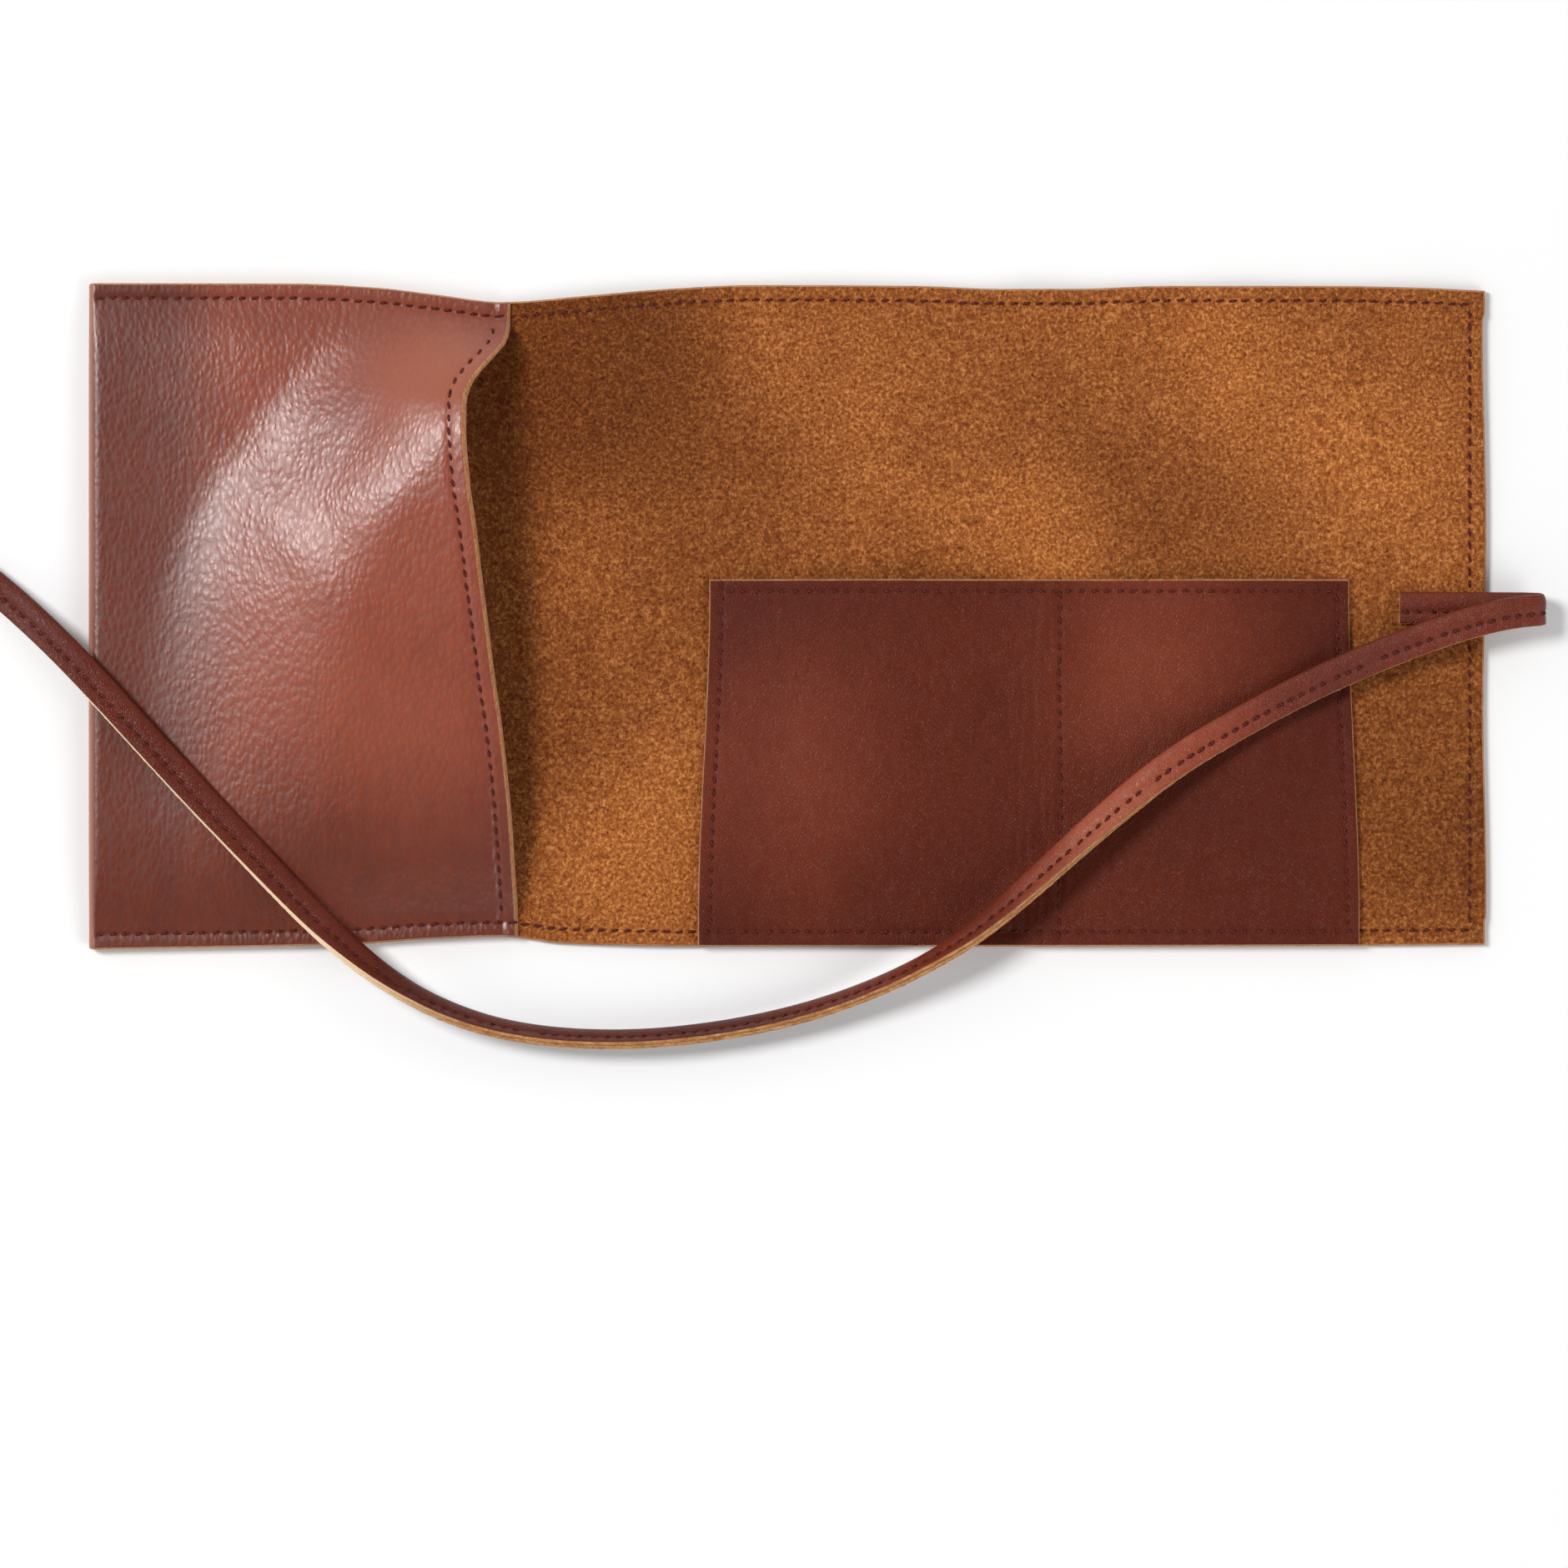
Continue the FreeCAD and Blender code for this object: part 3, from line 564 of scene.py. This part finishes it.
def strap_frame(line, tilt):
    T = np.gradient(line, axis=0)
    T /= np.linalg.norm(T, axis=1, keepdims=True)
    W = np.array([0.0, -1.0, 0.0]) - T * (T @ np.array([0.0, -1.0, 0.0]))[:, None]
    W /= np.linalg.norm(W, axis=1, keepdims=True)
    N = np.cross(T, W)
    c, s = np.cos(tilt)[:, None], np.sin(tilt)[:, None]
    return T, W * c + N * s, N * c - W * s


# section of the folded strip: a round fold at -a, two cut edges and the slit between them at +a
h = STRAP_W / 2
SECTION = [(h - 0.05, 1.02, 0), (h - 0.35, 1.13, 0), (h - 1.0, 1.14, 0), (h - 2.0, 1.10, 0), (h - 2.5, 0.90, 0), (h - 2.9, 0.90, 0),
           (h - 3.3, 1.10, 0), (h - 3.8, 1.24, 0), (0.0 - 0.9, 1.30, 0), (-h + 1.7, 1.24, 0), (-h + 0.8, 0.98, 0), (-h + 0.25, 0.60, 0),
           (-h, 0.0, 0), (-h + 0.25, -0.60, 0), (-h + 0.8, -0.98, 0), (-h + 1.7, -1.24, 0), (-0.9, -1.30, 0), (h - 3.8, -1.24, 0),
           (h - 3.3, -1.10, 0), (h - 2.9, -0.90, 0), (h - 2.5, -0.90, 0), (h - 2.0, -1.10, 0), (h - 1.0, -1.14, 0),
           (h - 0.35, -1.13, 0), (h - 0.05, -1.02, 1), (h + 0.05, -0.62, 1), (h - 0.02, -0.14, 1), (h - 0.35, 0.0, 1),
           (h - 0.02, 0.14, 1), (h + 0.05, 0.62, 1)]
SEAM_A = h - 2.7


def ribbon(name, line, tilt, first, last, seed):
    """The strap from one sample of its line to another, as a closed mesh, with slight wander in its edges."""
    T, W, N = strap_frame(line, tilt)
    rng = np.random.default_rng(seed)
    sec = np.array(SECTION)
    idx = np.arange(first, last + 1)
    s = idx * 0.7
    wob = 0.10 * np.sin(s / 9.0) + 0.07 * np.sin(s / 3.7 + 1.0)
    ring = line[idx][:, None] + sec[None, :, 0:1] * (1 + 0.02 * wob[:, None, None]) * W[idx][:, None] \
        + sec[None, :, 1:2] * (STRAP_T / 2.6) * (1 + 0.25 * wob[:, None, None] * 0.3) * N[idx][:, None]
    k = len(sec)
    rough = sec[:, 2] > 0
    ring[:, rough] += rng.normal(0, 0.035, (len(idx), int(rough.sum()), 3)) * np.where((idx == first) | (idx == last), 0, 1)[:, None, None]
    faces, index = [], []
    for i in range(len(idx) - 1):
        for j in range(k):
            n = (j + 1) % k
            faces.append((i * k + j, (i + 1) * k + j, (i + 1) * k + n, i * k + n))
            index.append(1 if sec[j, 2] or (j == k - 1) else 0)
    faces.append(tuple(range(k)))
    index.append(1)
    faces.append(tuple((len(idx) - 1) * k + j for j in reversed(range(k))))
    index.append(1)
    last_ring = (len(idx) - 1) * k
    sharp = [(j, (j + 1) % k) for j in range(k)] + [(last_ring + j, last_ring + (j + 1) % k) for j in range(k)]
    return make(name, ring.reshape(-1, 3), faces, [strap_mat, gold_mat], index, sharp=sharp)


def strap_seam(name, line, tilt, first, last, seed, faces=(1, -1)):
    T, W, N = strap_frame(line, tilt)
    st = Stitches(seed)
    per = 2.95 / 0.7
    start = math.ceil(first / per)
    for side in faces:
        n = start + (0.5 if side < 0 else 0.15)
        while True:
            i = int(round(n * per))
            if i + 2 > last:
                break
            if i - 2 >= first:
                P = line[i] + W[i] * SEAM_A + N[i] * side * 0.90 * STRAP_T / 2.6
                st.add(P, T[i], N[i] * side, length=2.3, radius=0.43, slant=0.20 * side, proud=0.36)
            n += 1
    return st.object(name)


SPLITS = [133.0, CUT[4], CUT[3] + 1.0, -13.0, -58.0, CUT[0]]
marks = [0]
for x in SPLITS:
    after = np.arange(len(strap_line)) > 40
    marks.append(int(np.flatnonzero((strap_line[:, 0] <= x) & after)[0]))
marks.append(len(strap_line) - 1)
STRAPS = [("strap_folded_back", ["strap_fold"], None), ("strap_over_slip_right", ["strap_over_back"], 5),
          ("strap_over_slip_left", ["strap_over_base"], 4), ("strap_below_front", ["strap_by_front"], 3),
          ("strap_below_core", ["strap_by_core_top"], 2), ("strap_by_pocket", ["strap_by_core_side"], 1),
          ("strap_over_pocket", ["strap_tip"], 0)]
strap_pieces = []
for n, (name, nodes, zone) in enumerate(STRAPS):
    a, b = marks[n], marks[n + 1]
    piece = ribbon(name, strap_line, tilt, a, b, 40 + n)
    seam = strap_seam(name + "_stitches", strap_line, tilt, a, b, 60 + n)
    for o, slot in ((piece, "strap_leather"), (seam, "thread")):
        if zone is None:
            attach(o, "flap_panel")
        else:
            bend_piece(o)
    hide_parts(*nodes)
    strap_pieces.append(piece)

# the end that is sewn down to the suede
anchor_line, _ = run_along(np.array([(ANCHOR_X + 0.2, ANCHOR_Y, 2.75), (ANCHOR_X + 10, ANCHOR_Y, 2.8), (160.0, ANCHOR_Y, 2.9)]), 0.7)
anchor_tilt = np.zeros(len(anchor_line))
anchor = ribbon("strap_sewn_end", anchor_line, anchor_tilt, 0, len(anchor_line) - 1, 91)
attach(anchor, "flap_panel")
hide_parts("strap_anchor")
anchor_seam = strap_seam("strap_sewn_end_stitches", anchor_line, anchor_tilt, 0, len(anchor_line) - 1, 92, faces=(-1,))
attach(anchor_seam, "flap_panel")
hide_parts("strap_anchor_stitches")

# ------------------------------------------------------------------ outlines and surfaces of the hide
Y_HI = curve_of([(-160, 76.0), (-113, 75.9), (-94, 75.0), (-81, 73.5), (-65, 71.7), (-60, 71.9), (-46, 73.1), (-27, 74.7),
                 (-8, 75.6), (30, 75.4), (50, 74.7), (65, 74.7), (87, 75.4), (126, 75.4), (145, 75.0), (160, 74.3)])
Y_LO = curve_of([(-160, -76.1), (-100, -74.9), (-82, -73.7), (-65, -73.1), (-59, -73.7), (-53, -74.6), (-44, -75.0),
                 (-19, -75.4), (60, -75.4), (120, -75.3), (160, -75.0)])
MOUTH_X = curve_of([(-75.5, -62.2), (-68.7, -62.4), (-59.5, -62.9), (-47.9, -63.5), (-36.6, -64.5), (-26, -65.6), (-13.5, -67.3),
                    (-3.1, -68.5), (10.8, -70.2), (20.6, -71.3), (32.3, -72.9), (45.2, -73.8), (50, -73.8), (55, -72.7),
                    (58.9, -70.4), (63.9, -66.6), (67.2, -64.6), (70.2, -64.1), (75.5, -64.0)])
PUFF = curve_of([(-75.5, 0), (-71.6, 0), (-66, 0.36), (-58, 0.76), (-45, 1.0), (45, 1.0), (60, 0.8), (67, 0.36), (71.6, 0), (75.5, 0)])
LIFT = curve_of([(-75.5, 0), (-71.8, 0), (-66, 0.7), (-58, 1.9), (-45, 3.8), (-25, 6.2), (-5, 8.6), (15, 10.8), (30, 12.2),
                 (42, 12.6), (50, 11.6), (57, 9.0), (63, 5.4), (68, 1.8), (71.8, 0), (75.5, 0)])
SHOULDER = curve_of([(-75.5, -117), (-45, -121), (-20, -122.5), (0, -121), (15, -117), (25, -112), (35, -105.5), (45, -99),
                     (55, -93), (62, -89), (75.5, -87)])
SEAM = 72.5


def real_y(x, yn):
    lo, hi = Y_LO(x), Y_HI(x)
    return lo + (yn + HALF) / (2 * HALF) * (hi - lo)


def lift_of_hide(x, yn):
    """How far the open hide stands off the table: soft ridges where it has been rolled."""
    w = 1.15 * gauss(x - 60, 9.5) * step01((yn + 70) / 60)
    w += 0.55 * gauss(x - 106, 11) * step01((yn + 60) / 70)
    w += 0.95 * gauss(x + 40, 17) * step01((yn - 5) / 60)
    w += 0.55 * gauss(x - 12, 15) * step01((yn - 0) / 70)
    w += 0.7 * gauss(x - 150, 12) * gauss(yn - 62, 30)
    w += 0.5 * gauss(x + 30, 12) * step01((-yn - 10) / 50)
    return w * step01((x + 66) / 12)


def hide_top(x, yn):
    groove = 0.22 * gauss(np.abs(yn) - SEAM, 0.75) + 0.22 * gauss(x - (X1 - 3.1), 0.75)
    return THK + lift_of_hide(x, yn) - groove


def front_top(x, yn):
    """Outer face of the wide pocket's front."""
    centre = SHOULDER(yn)
    mouth = MOUTH_X(yn)
    reach = np.where(yn > 45, 52 - (yn - 45) * 0.75, 52.0)
    rise = step01((x - centre) / reach + 0.5)
    puff = PUFF(yn) * (1.9 + 0.9 * step01((x + 150) / 30))
    climb = 0.36 * LIFT(yn) * np.clip((x - centre - 4) / (mouth - centre - 4), 0, 1) ** 1.3
    z = 2 * THK + puff + LIFT(yn) * rise + climb
    # the corner of what the pocket was shaped by, and soft folds running from it
    z = z + 0.9 * gauss(x + 87, 6.5) * gauss(yn - 51, 7) * 1.0
    fold = (x + 116) * 0.80 + (yn - 20) * 0.60
    z = z + 0.32 * gauss(fold, 5.0) * gauss(yn - 18, 26) - 0.22 * gauss(fold - 10, 5.0) * gauss(yn - 14, 26)
    z = z + 0.30 * PUFF(yn) * np.sin((x + 160) / 6.3 + yn / 31.0) * gauss(x + 122, 26) * gauss(yn + 25, 40)
    z = z - 0.26 * gauss(np.abs(yn) - SEAM, 0.8) - 0.28 * gauss(x - mouth + 2.9, 0.8)
    return z


def rows():
    """Places across the hide, close together at the two edge seams."""
    near = [75.5, 75.2, 74.7, 74.2, 73.7, 73.3, 72.9, 72.5, 72.1, 71.7, 71.2, 70.5, 69.5, 68.0, 66.0]
    mid = np.linspace(-64, 64, 56)
    return np.concatenate([-np.array(near), mid, np.array(near[::-1])])


YN = rows()


def steps(a, b, size, dense=()):
    """Places from a to b, about size apart, closer together around each (place, half width)."""
    out = list(np.linspace(a, b, max(2, int(math.ceil(abs(b - a) / size)) + 1)))
    for c, w, s in dense:
        out += [v for v in np.arange(c - w, c + w + 1e-6, s) if a < v < b]
    out = np.array(sorted(out))
    keep = [0]
    for i in range(1, len(out)):
        if out[i] - out[keep[-1]] > 0.22 or i == len(out) - 1:
            keep.append(i)
    if len(keep) > 2 and out[keep[-1]] - out[keep[-2]] < 0.2:
        keep.pop(-2)
    return out[keep]


hide_pieces = []


def flat_piece(name, a, b, nodes, right_edge=False):
    xs = steps(a, b, 2.2, [(X1 - 3.1, 2.2, 0.45), (60, 9, 1.1)] if right_edge else [(60, 9, 1.1)])
    Xg, Yn = np.meshgrid(xs, YN, indexing="ij")
    TOP = np.stack([Xg, real_y(Xg, Yn), hide_top(Xg, Yn)], 2)
    BOT = np.stack([Xg, real_y(Xg, Yn), lift_of_hide(Xg, Yn)], 2)
    if right_edge:
        wave = 0.35 * np.sin(YN / 13.0) - 0.25 * step01((YN - 40) / 40)
        for G in (TOP, BOT):
            G[-1, :, 0] += np.where(np.abs(YN) < 70, wave, 0)
    raw = (False, right_edge, True, True)
    o = sheet_mesh(name, TOP, BOT, [suede_mat, outside_mat, edge_mat], raw, slant=(0, 0.3, 0.35, 0.35))
    bend_piece(o)
    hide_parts(*nodes)
    hide_pieces.append(o)
    return o


flat_piece("hide_behind_pocket", CUT[0], CUT[1], ["hide_core_side"])
flat_piece("hide_by_mouth", CUT[1], CUT[2], ["hide_core_top"])
flat_piece("hide_front_part", CUT[2], CUT[3], ["hide_front_side"])
flat_piece("hide_middle_part", CUT[3], CUT[4], ["hide_base"])
flat_piece("hide_strap_end", CUT[4], X1, ["hide_back_side", "hide_flap"], right_edge=True)

# the folded end: outside of the leather from below, round the fold and back over the top
Yn = YN
H = 2 * THK + 1.9 * PUFF(Yn)
R = H / 2
xc = X0 + R
cols = []
for t in np.linspace(0, 1, 24):
    x = CUT[0] + (xc - CUT[0]) * t
    cols.append(np.stack([x, real_y(x, Yn), np.zeros_like(x)], 1))
for a in np.linspace(0, math.pi, 15)[1:-1]:
    x = xc - R * math.sin(a)
    cols.append(np.stack([x, real_y(x, Yn), R - R * math.cos(a)], 1))
for t in np.linspace(0, 1, 40) ** 1.15:
    x = xc + (CUT[0] - xc) * t
    cols.append(np.stack([x, real_y(x, Yn), front_top(x, Yn)], 1))
OUT = np.array(cols)[:, ::-1]
inner = OUT - normals(OUT) * THK
sign = -1.0 if (inner[3, 20, 2] > OUT[3, 20, 2]) else 1.0
inner = OUT - sign * normals(OUT) * THK
INN = inner if inner[3, 20, 2] > OUT[3, 20, 2] else OUT + sign * normals(OUT) * THK
INN[0, :, 0] = INN[-1, :, 0] = CUT[0]
INN[..., 1] = OUT[..., 1]
end = sheet_mesh("hide_folded_end", OUT, INN, [hide_mat, suede_mat, edge_mat], (False, False, True, True), bulge=0.42)
bend_piece(end)
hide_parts("hide_tail", "large_pocket_front_tail")

# the rest of the pocket's front, up to its curved mouth
ts = np.concatenate([np.linspace(0, 0.86, 20), np.linspace(0.86, 1, 15)[1:]])
cols = []
for t in ts:
    m = MOUTH_X(Yn)
    x = CUT[0] + (m - CUT[0]) * t
    cols.append(np.stack([x, real_y(x, Yn), front_top(x, Yn)], 1))
TOP = np.array(cols)
n = normals(TOP)
n[..., 1] *= 0.4
BOT = TOP - n * THK * np.sign(n[5, 20, 2])
BOT[0, :, 0] = CUT[0]
front = sheet_mesh("pocket_front_mouth", TOP, BOT, [hide_mat, suede_mat, edge_mat], (False, True, True, True),
                   slant=(0, 0.75, 0, 0), bulge=0.25)
bend_piece(front)
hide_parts("large_pocket_front_side", "large_pocket_front_mouth")

# ------------------------------------------------------------------ the slip pocket
CREASES = [(51.8, 0.10, 0.6), (53.6, 0.14, 0.6), (55.3, 0.13, 0.6), (57.1, 0.18, 0.7), (58.8, 0.14, 0.6), (60.4, 0.10, 0.6)]


def slip_left(y):
    return SLIP_L + 2.6 * step01((y + 70) / 75)


def slip_right(y):
    return SLIP_R - 2.4 * step01((y + 70) / 75)


def slip_top(x, y):
    """Outer face of the slip pocket."""
    yn = -HALF + (y - Y_LO(x)) * 1.0
    open_up = step01((yn + 72.5) / 34)
    left = np.clip(1 - ((x - 21) / 39.5) ** 2, 0, 1) ** 1.4
    right = np.clip(1 - ((x - 96) / 31.5) ** 2, 0, 1) ** 1.4
    z = THK + SLIP_T + lift_of_hide(x, yn) + (2.7 * left + 2.0 * right) * open_up
    z = z + 0.35 * gauss(x - 30, 12) * gauss(y + 30, 22)
    for c, depth, w in CREASES:
        wander = 0.55 * np.sin(y / 9.0 + c) + 0.3 * np.sin(y / 3.7 + 2 * c)
        z = z - depth * gauss(x - c - wander, w) * (0.35 + 0.65 * step01(0.5 + np.sin(y / 14.0 + c * 1.7)))
    z = z - 0.22 * gauss(x - DIV, 0.8) - 0.2 * gauss(y - (SLIP_TOP - 2.4), 0.7) - 0.2 * gauss(yn + SEAM, 0.7)
    z = z - 0.2 * gauss(x - slip_left(y) - 2.6, 0.7) - 0.2 * gauss(x - slip_right(y) + 2.6, 0.7)
    return z


near = np.array([0, 0.3, 0.8, 1.4, 1.9, 2.4, 2.9, 3.4, 4.1, 5.0, 6.2, 8.0])
deep = SLIP_TOP + HALF
across = np.concatenate([near, np.linspace(10.5, deep - 8, 24), deep - near[::-1][1:-4], [deep - 2.4, deep - 1.8, deep - 1.2, deep - 0.6, deep]])
across = np.unique(np.round(across, 3))


def slip_piece(name, a, b, nodes, left_edge=False, right_edge=False):
    base = steps(a, b, 2.2, [(56, 7, 0.4), (DIV, 2.4, 0.45), (SLIP_L + 3, 3.4, 0.45), (SLIP_R - 3, 3.4, 0.45)])
    TOP = np.zeros((len(base), len(across), 3))
    for j, d in enumerate(across):
        x = base.copy()
        y = Y_LO(x) + d * (SLIP_TOP - Y_LO(x)) / deep
        if left_edge:
            x = b + (x - b) * (b - slip_left(y)) / (b - a)
        if right_edge:
            x = a + (x - a) * (slip_right(y) - a) / (b - a)
        y = Y_LO(x) + d * (SLIP_TOP - Y_LO(x)) / deep
        TOP[:, j] = np.stack([x, y, slip_top(x, y)], 1)
    BOT = TOP.copy()
    BOT[..., 2] -= SLIP_T - 0.02
    o = sheet_mesh(name, TOP, BOT, [slip_mat, suede_mat, edge_mat], (left_edge, right_edge, True, True),
                   slant=(0.1, 0.1, 0, 0.25), bulge=0.2)
    bend_piece(o)
    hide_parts(*nodes)
    return o


slip_piece("slip_pocket_left_part", SLIP_L, CUT[3], ["small_pocket_left_edge", "small_pocket_front_base"], left_edge=True)
slip_piece("slip_pocket_middle_part", CUT[3], CUT[4], ["small_pocket_front_back"])
slip_piece("slip_pocket_right_part", CUT[4], SLIP_R, ["small_pocket_right_edge"], right_edge=True)

# ------------------------------------------------------------------ seams

def nominal(x, y):
    lo, hi = Y_LO(x), Y_HI(x)
    return -HALF + (y - lo) / (hi - lo) * 2 * HALF


def top_z(x, y):
    """Height of the topmost leather at a place, without its seam grooves' exact depth."""
    yn = nominal(x, y)
    if x < MOUTH_X(yn) - 0.3:
        return float(front_top(np.array(x), np.array(yn)))
    if slip_left(y) + 0.3 < x < slip_right(y) - 0.3 and y < SLIP_TOP - 0.2:
        return float(slip_top(np.array(x), np.array(y)))
    return float(hide_top(np.array(x), np.array(yn)))


def low_z(x, y):
    return float(lift_of_hide(np.array(x), np.array(nominal(x, y))))


def surface_normal(z, x, y):
    e = 0.35
    n = np.array([-(z(x + e, y) - z(x - e, y)) / (2 * e), -(z(x, y + e) - z(x, y - e)) / (2 * e), 1.0])
    return n / np.linalg.norm(n)


seams = {}


def sew(label, path, pitch=2.95, seed=1, under=True, skip=None, slant=0.16):
    """Stitches along a path of (x, y) points, above and below the leather."""
    pts = np.array(path, float)
    d = np.concatenate([[0], np.cumsum(np.linalg.norm(np.diff(pts, axis=0), axis=1))])
    count = int(round(d[-1] / pitch))
    rng = np.random.default_rng(seed)
    for i in range(count):
        for side in ((1, 0.5), (-1, 0.0))[: 2 if under else 1]:
            s = (i + side[1]) * d[-1] / count + rng.normal(0, 0.05)
            if s < 0.6:
                continue
            x, y = np.interp(s, d, pts[:, 0]), np.interp(s, d, pts[:, 1])
            if skip and skip(x, y):
                continue
            ahead = np.array([np.interp(s + 0.5, d, pts[:, 0]) - np.interp(s - 0.5, d, pts[:, 0]),
                              np.interp(s + 0.5, d, pts[:, 1]) - np.interp(s - 0.5, d, pts[:, 1])])
            if np.linalg.norm(ahead) < 1e-6:
                continue
            ahead /= np.linalg.norm(ahead)
            zone = int(np.searchsorted(CUT, x))
            key = (label, zone)
            if key not in seams:
                seams[key] = Stitches(1000 + 37 * len(seams) + seed)
            if side[0] > 0:
                z = top_z(x, y)
                n = surface_normal(top_z, x, y)
                if n[2] < 0.55:
                    n = np.array([0, 0, 1.0])
                grade = (top_z(x + ahead[0] * 0.8, y + ahead[1] * 0.8) - top_z(x - ahead[0] * 0.8, y - ahead[1] * 0.8)) / 1.6
                grade = grade if abs(grade) < 1.2 else 0.0
                seams[key].add((x, y, z), (ahead[0], ahead[1], grade), n, slant=slant)
            else:
                seams[key].add((x, y, low_z(x, y) + 0.10), (ahead[0], ahead[1], 0), (0, 0, -1), slant=slant, radius=0.30, proud=0.16)


xs = np.arange(X0 + 1.2, X1 - 2.6, 1.0)
sew("edge", [(x, float(real_y(x, SEAM))) for x in xs], seed=3)
sew("edge", [(x, float(real_y(x, -SEAM))) for x in xs], seed=4)
ys = np.arange(-SEAM + 1.0, SEAM - 0.6, 1.0)
sew("edge", [(X1 - 3.1, y * 0.99) for y in ys], seed=5)
ys = np.arange(-70.5, 70.6, 0.7)
sew("mouth", [(float(MOUTH_X(y)) - 2.9, float(real_y(float(MOUTH_X(y)) - 2.9, y))) for y in ys], seed=6, under=False)
ys = np.arange(-71.5, SLIP_TOP + 0.8, 0.8)
sew("slip_left", [(float(slip_left(y)) + 2.6, y) for y in ys], seed=7)
sew("slip_right", [(float(slip_right(y)) - 2.6, y) for y in ys], seed=8)
sew("divider", [(DIV + 0.25 * math.sin(y / 9), y) for y in np.arange(-74.5, SLIP_TOP + 1.6, 0.8)], seed=9)
sew("slip_hem", [(x, SLIP_TOP - 2.4) for x in np.arange(float(slip_left(SLIP_TOP)) + 3.2, float(slip_right(SLIP_TOP)) - 2.8, 1.0)],
    seed=10, under=False)

EDGE_NODES = {0: ["edge_stitches_tail"], 1: ["edge_stitches_core_side"], 2: ["edge_stitches_core_top"],
              3: ["edge_stitches_front_side"], 4: ["edge_stitches_base"], 5: ["edge_stitches_back_side", "edge_stitches_flap"]}
SEAM_NODES = {("mouth", 1): ["large_pocket_hem_stitches"], ("slip_left", 3): ["small_pocket_left_stitches"],
              ("slip_right", 5): ["small_pocket_right_stitches"], ("divider", 4): ["small_pocket_divider_stitches"],
              ("slip_hem", 3): ["small_pocket_hem_stitches_front", "small_pocket_hem_stitches_base"],
              ("slip_hem", 4): ["small_pocket_hem_stitches_back"], ("slip_hem", 5): ["small_pocket_hem_stitches_flap"]}
PLACES = ["tail", "core_side", "core_top", "front", "middle", "strap_end"]
seam_objects = {}
for (label, zone), st in sorted(seams.items()):
    o = st.object(label + "_seam_" + PLACES[zone])
    bend_piece(o)
    nodes = EDGE_NODES[zone] if label == "edge" else SEAM_NODES.get((label, zone), [])
    if nodes:
        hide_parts(*nodes)
    seam_objects[(label, zone)] = o

# ------------------------------------------------------------------ floor, world and lights
floor_mesh = bpy.data.meshes.new("floor")
floor_mesh.from_pydata([(-4, -4, -0.0004), (4, -4, -0.0004), (4, 4, -0.0004), (-4, 4, -0.0004)], [], [(0, 1, 2, 3)])
floor = bpy.data.objects.new("floor", floor_mesh)
scene.collection.objects.link(floor)
fm = Mat("pale_floor")
fm.finish(fm.ramp(fm.noise(fm.coord, 3.0), [(0.3, (0.795, 0.795, 0.795)), (0.7, (0.81, 0.81, 0.81))]), 0.8, Specular_IOR_Level=0.1)
floor_mesh.materials.append(fm.m)

world = bpy.data.worlds.new("studio")
scene.world = world
world.use_nodes = True
wt = world.node_tree
tc = wt.nodes.new("ShaderNodeTexCoord")
sep = wt.nodes.new("ShaderNodeSeparateXYZ")
ramp = wt.nodes.new("ShaderNodeValToRGB")
wt.links.new(tc.outputs["Generated"], sep.inputs[0])
wt.links.new(sep.outputs[2], ramp.inputs[0])
for el, (pos, v) in zip(ramp.color_ramp.elements, ((0.0, 1.0), (1.0, 0.03))):
    el.position, el.color = pos, (v, v, v, 1)
for pos, v in ((0.50, 1.0), (0.72, 0.34), (0.86, 0.05)):
    el = ramp.color_ramp.elements.new(pos)
    el.color = (v, v, v, 1)
wt.links.new(ramp.outputs[0], wt.nodes["Background"].inputs["Color"])
wt.nodes["Background"].inputs["Strength"].default_value = 0.98


def area(name, at, aim, size, power, tint=(1, 1, 1)):
    data = bpy.data.lights.new(name, "AREA")
    data.shape, data.size = "DISK", size
    data.energy, data.color = power, tint
    o = bpy.data.objects.new(name, data)
    scene.collection.objects.link(o)
    o.location = at
    d = np.array(aim) - np.array(at)
    d = d / np.linalg.norm(d)
    yaw = math.atan2(d[1], d[0])
    o.rotation_euler = (0, math.acos(-d[2]), yaw + math.pi)
    return o


area("key_softbox", (-1.25, 0.60, 1.73), (-0.02, 0, 0), 0.74, 41.0)
area("fill_softbox", (1.3, -0.9, 1.1), (0, 0, 0), 1.2, 13.0)
scene.view_settings.view_transform = "Standard"
scene.view_settings.look = "None"
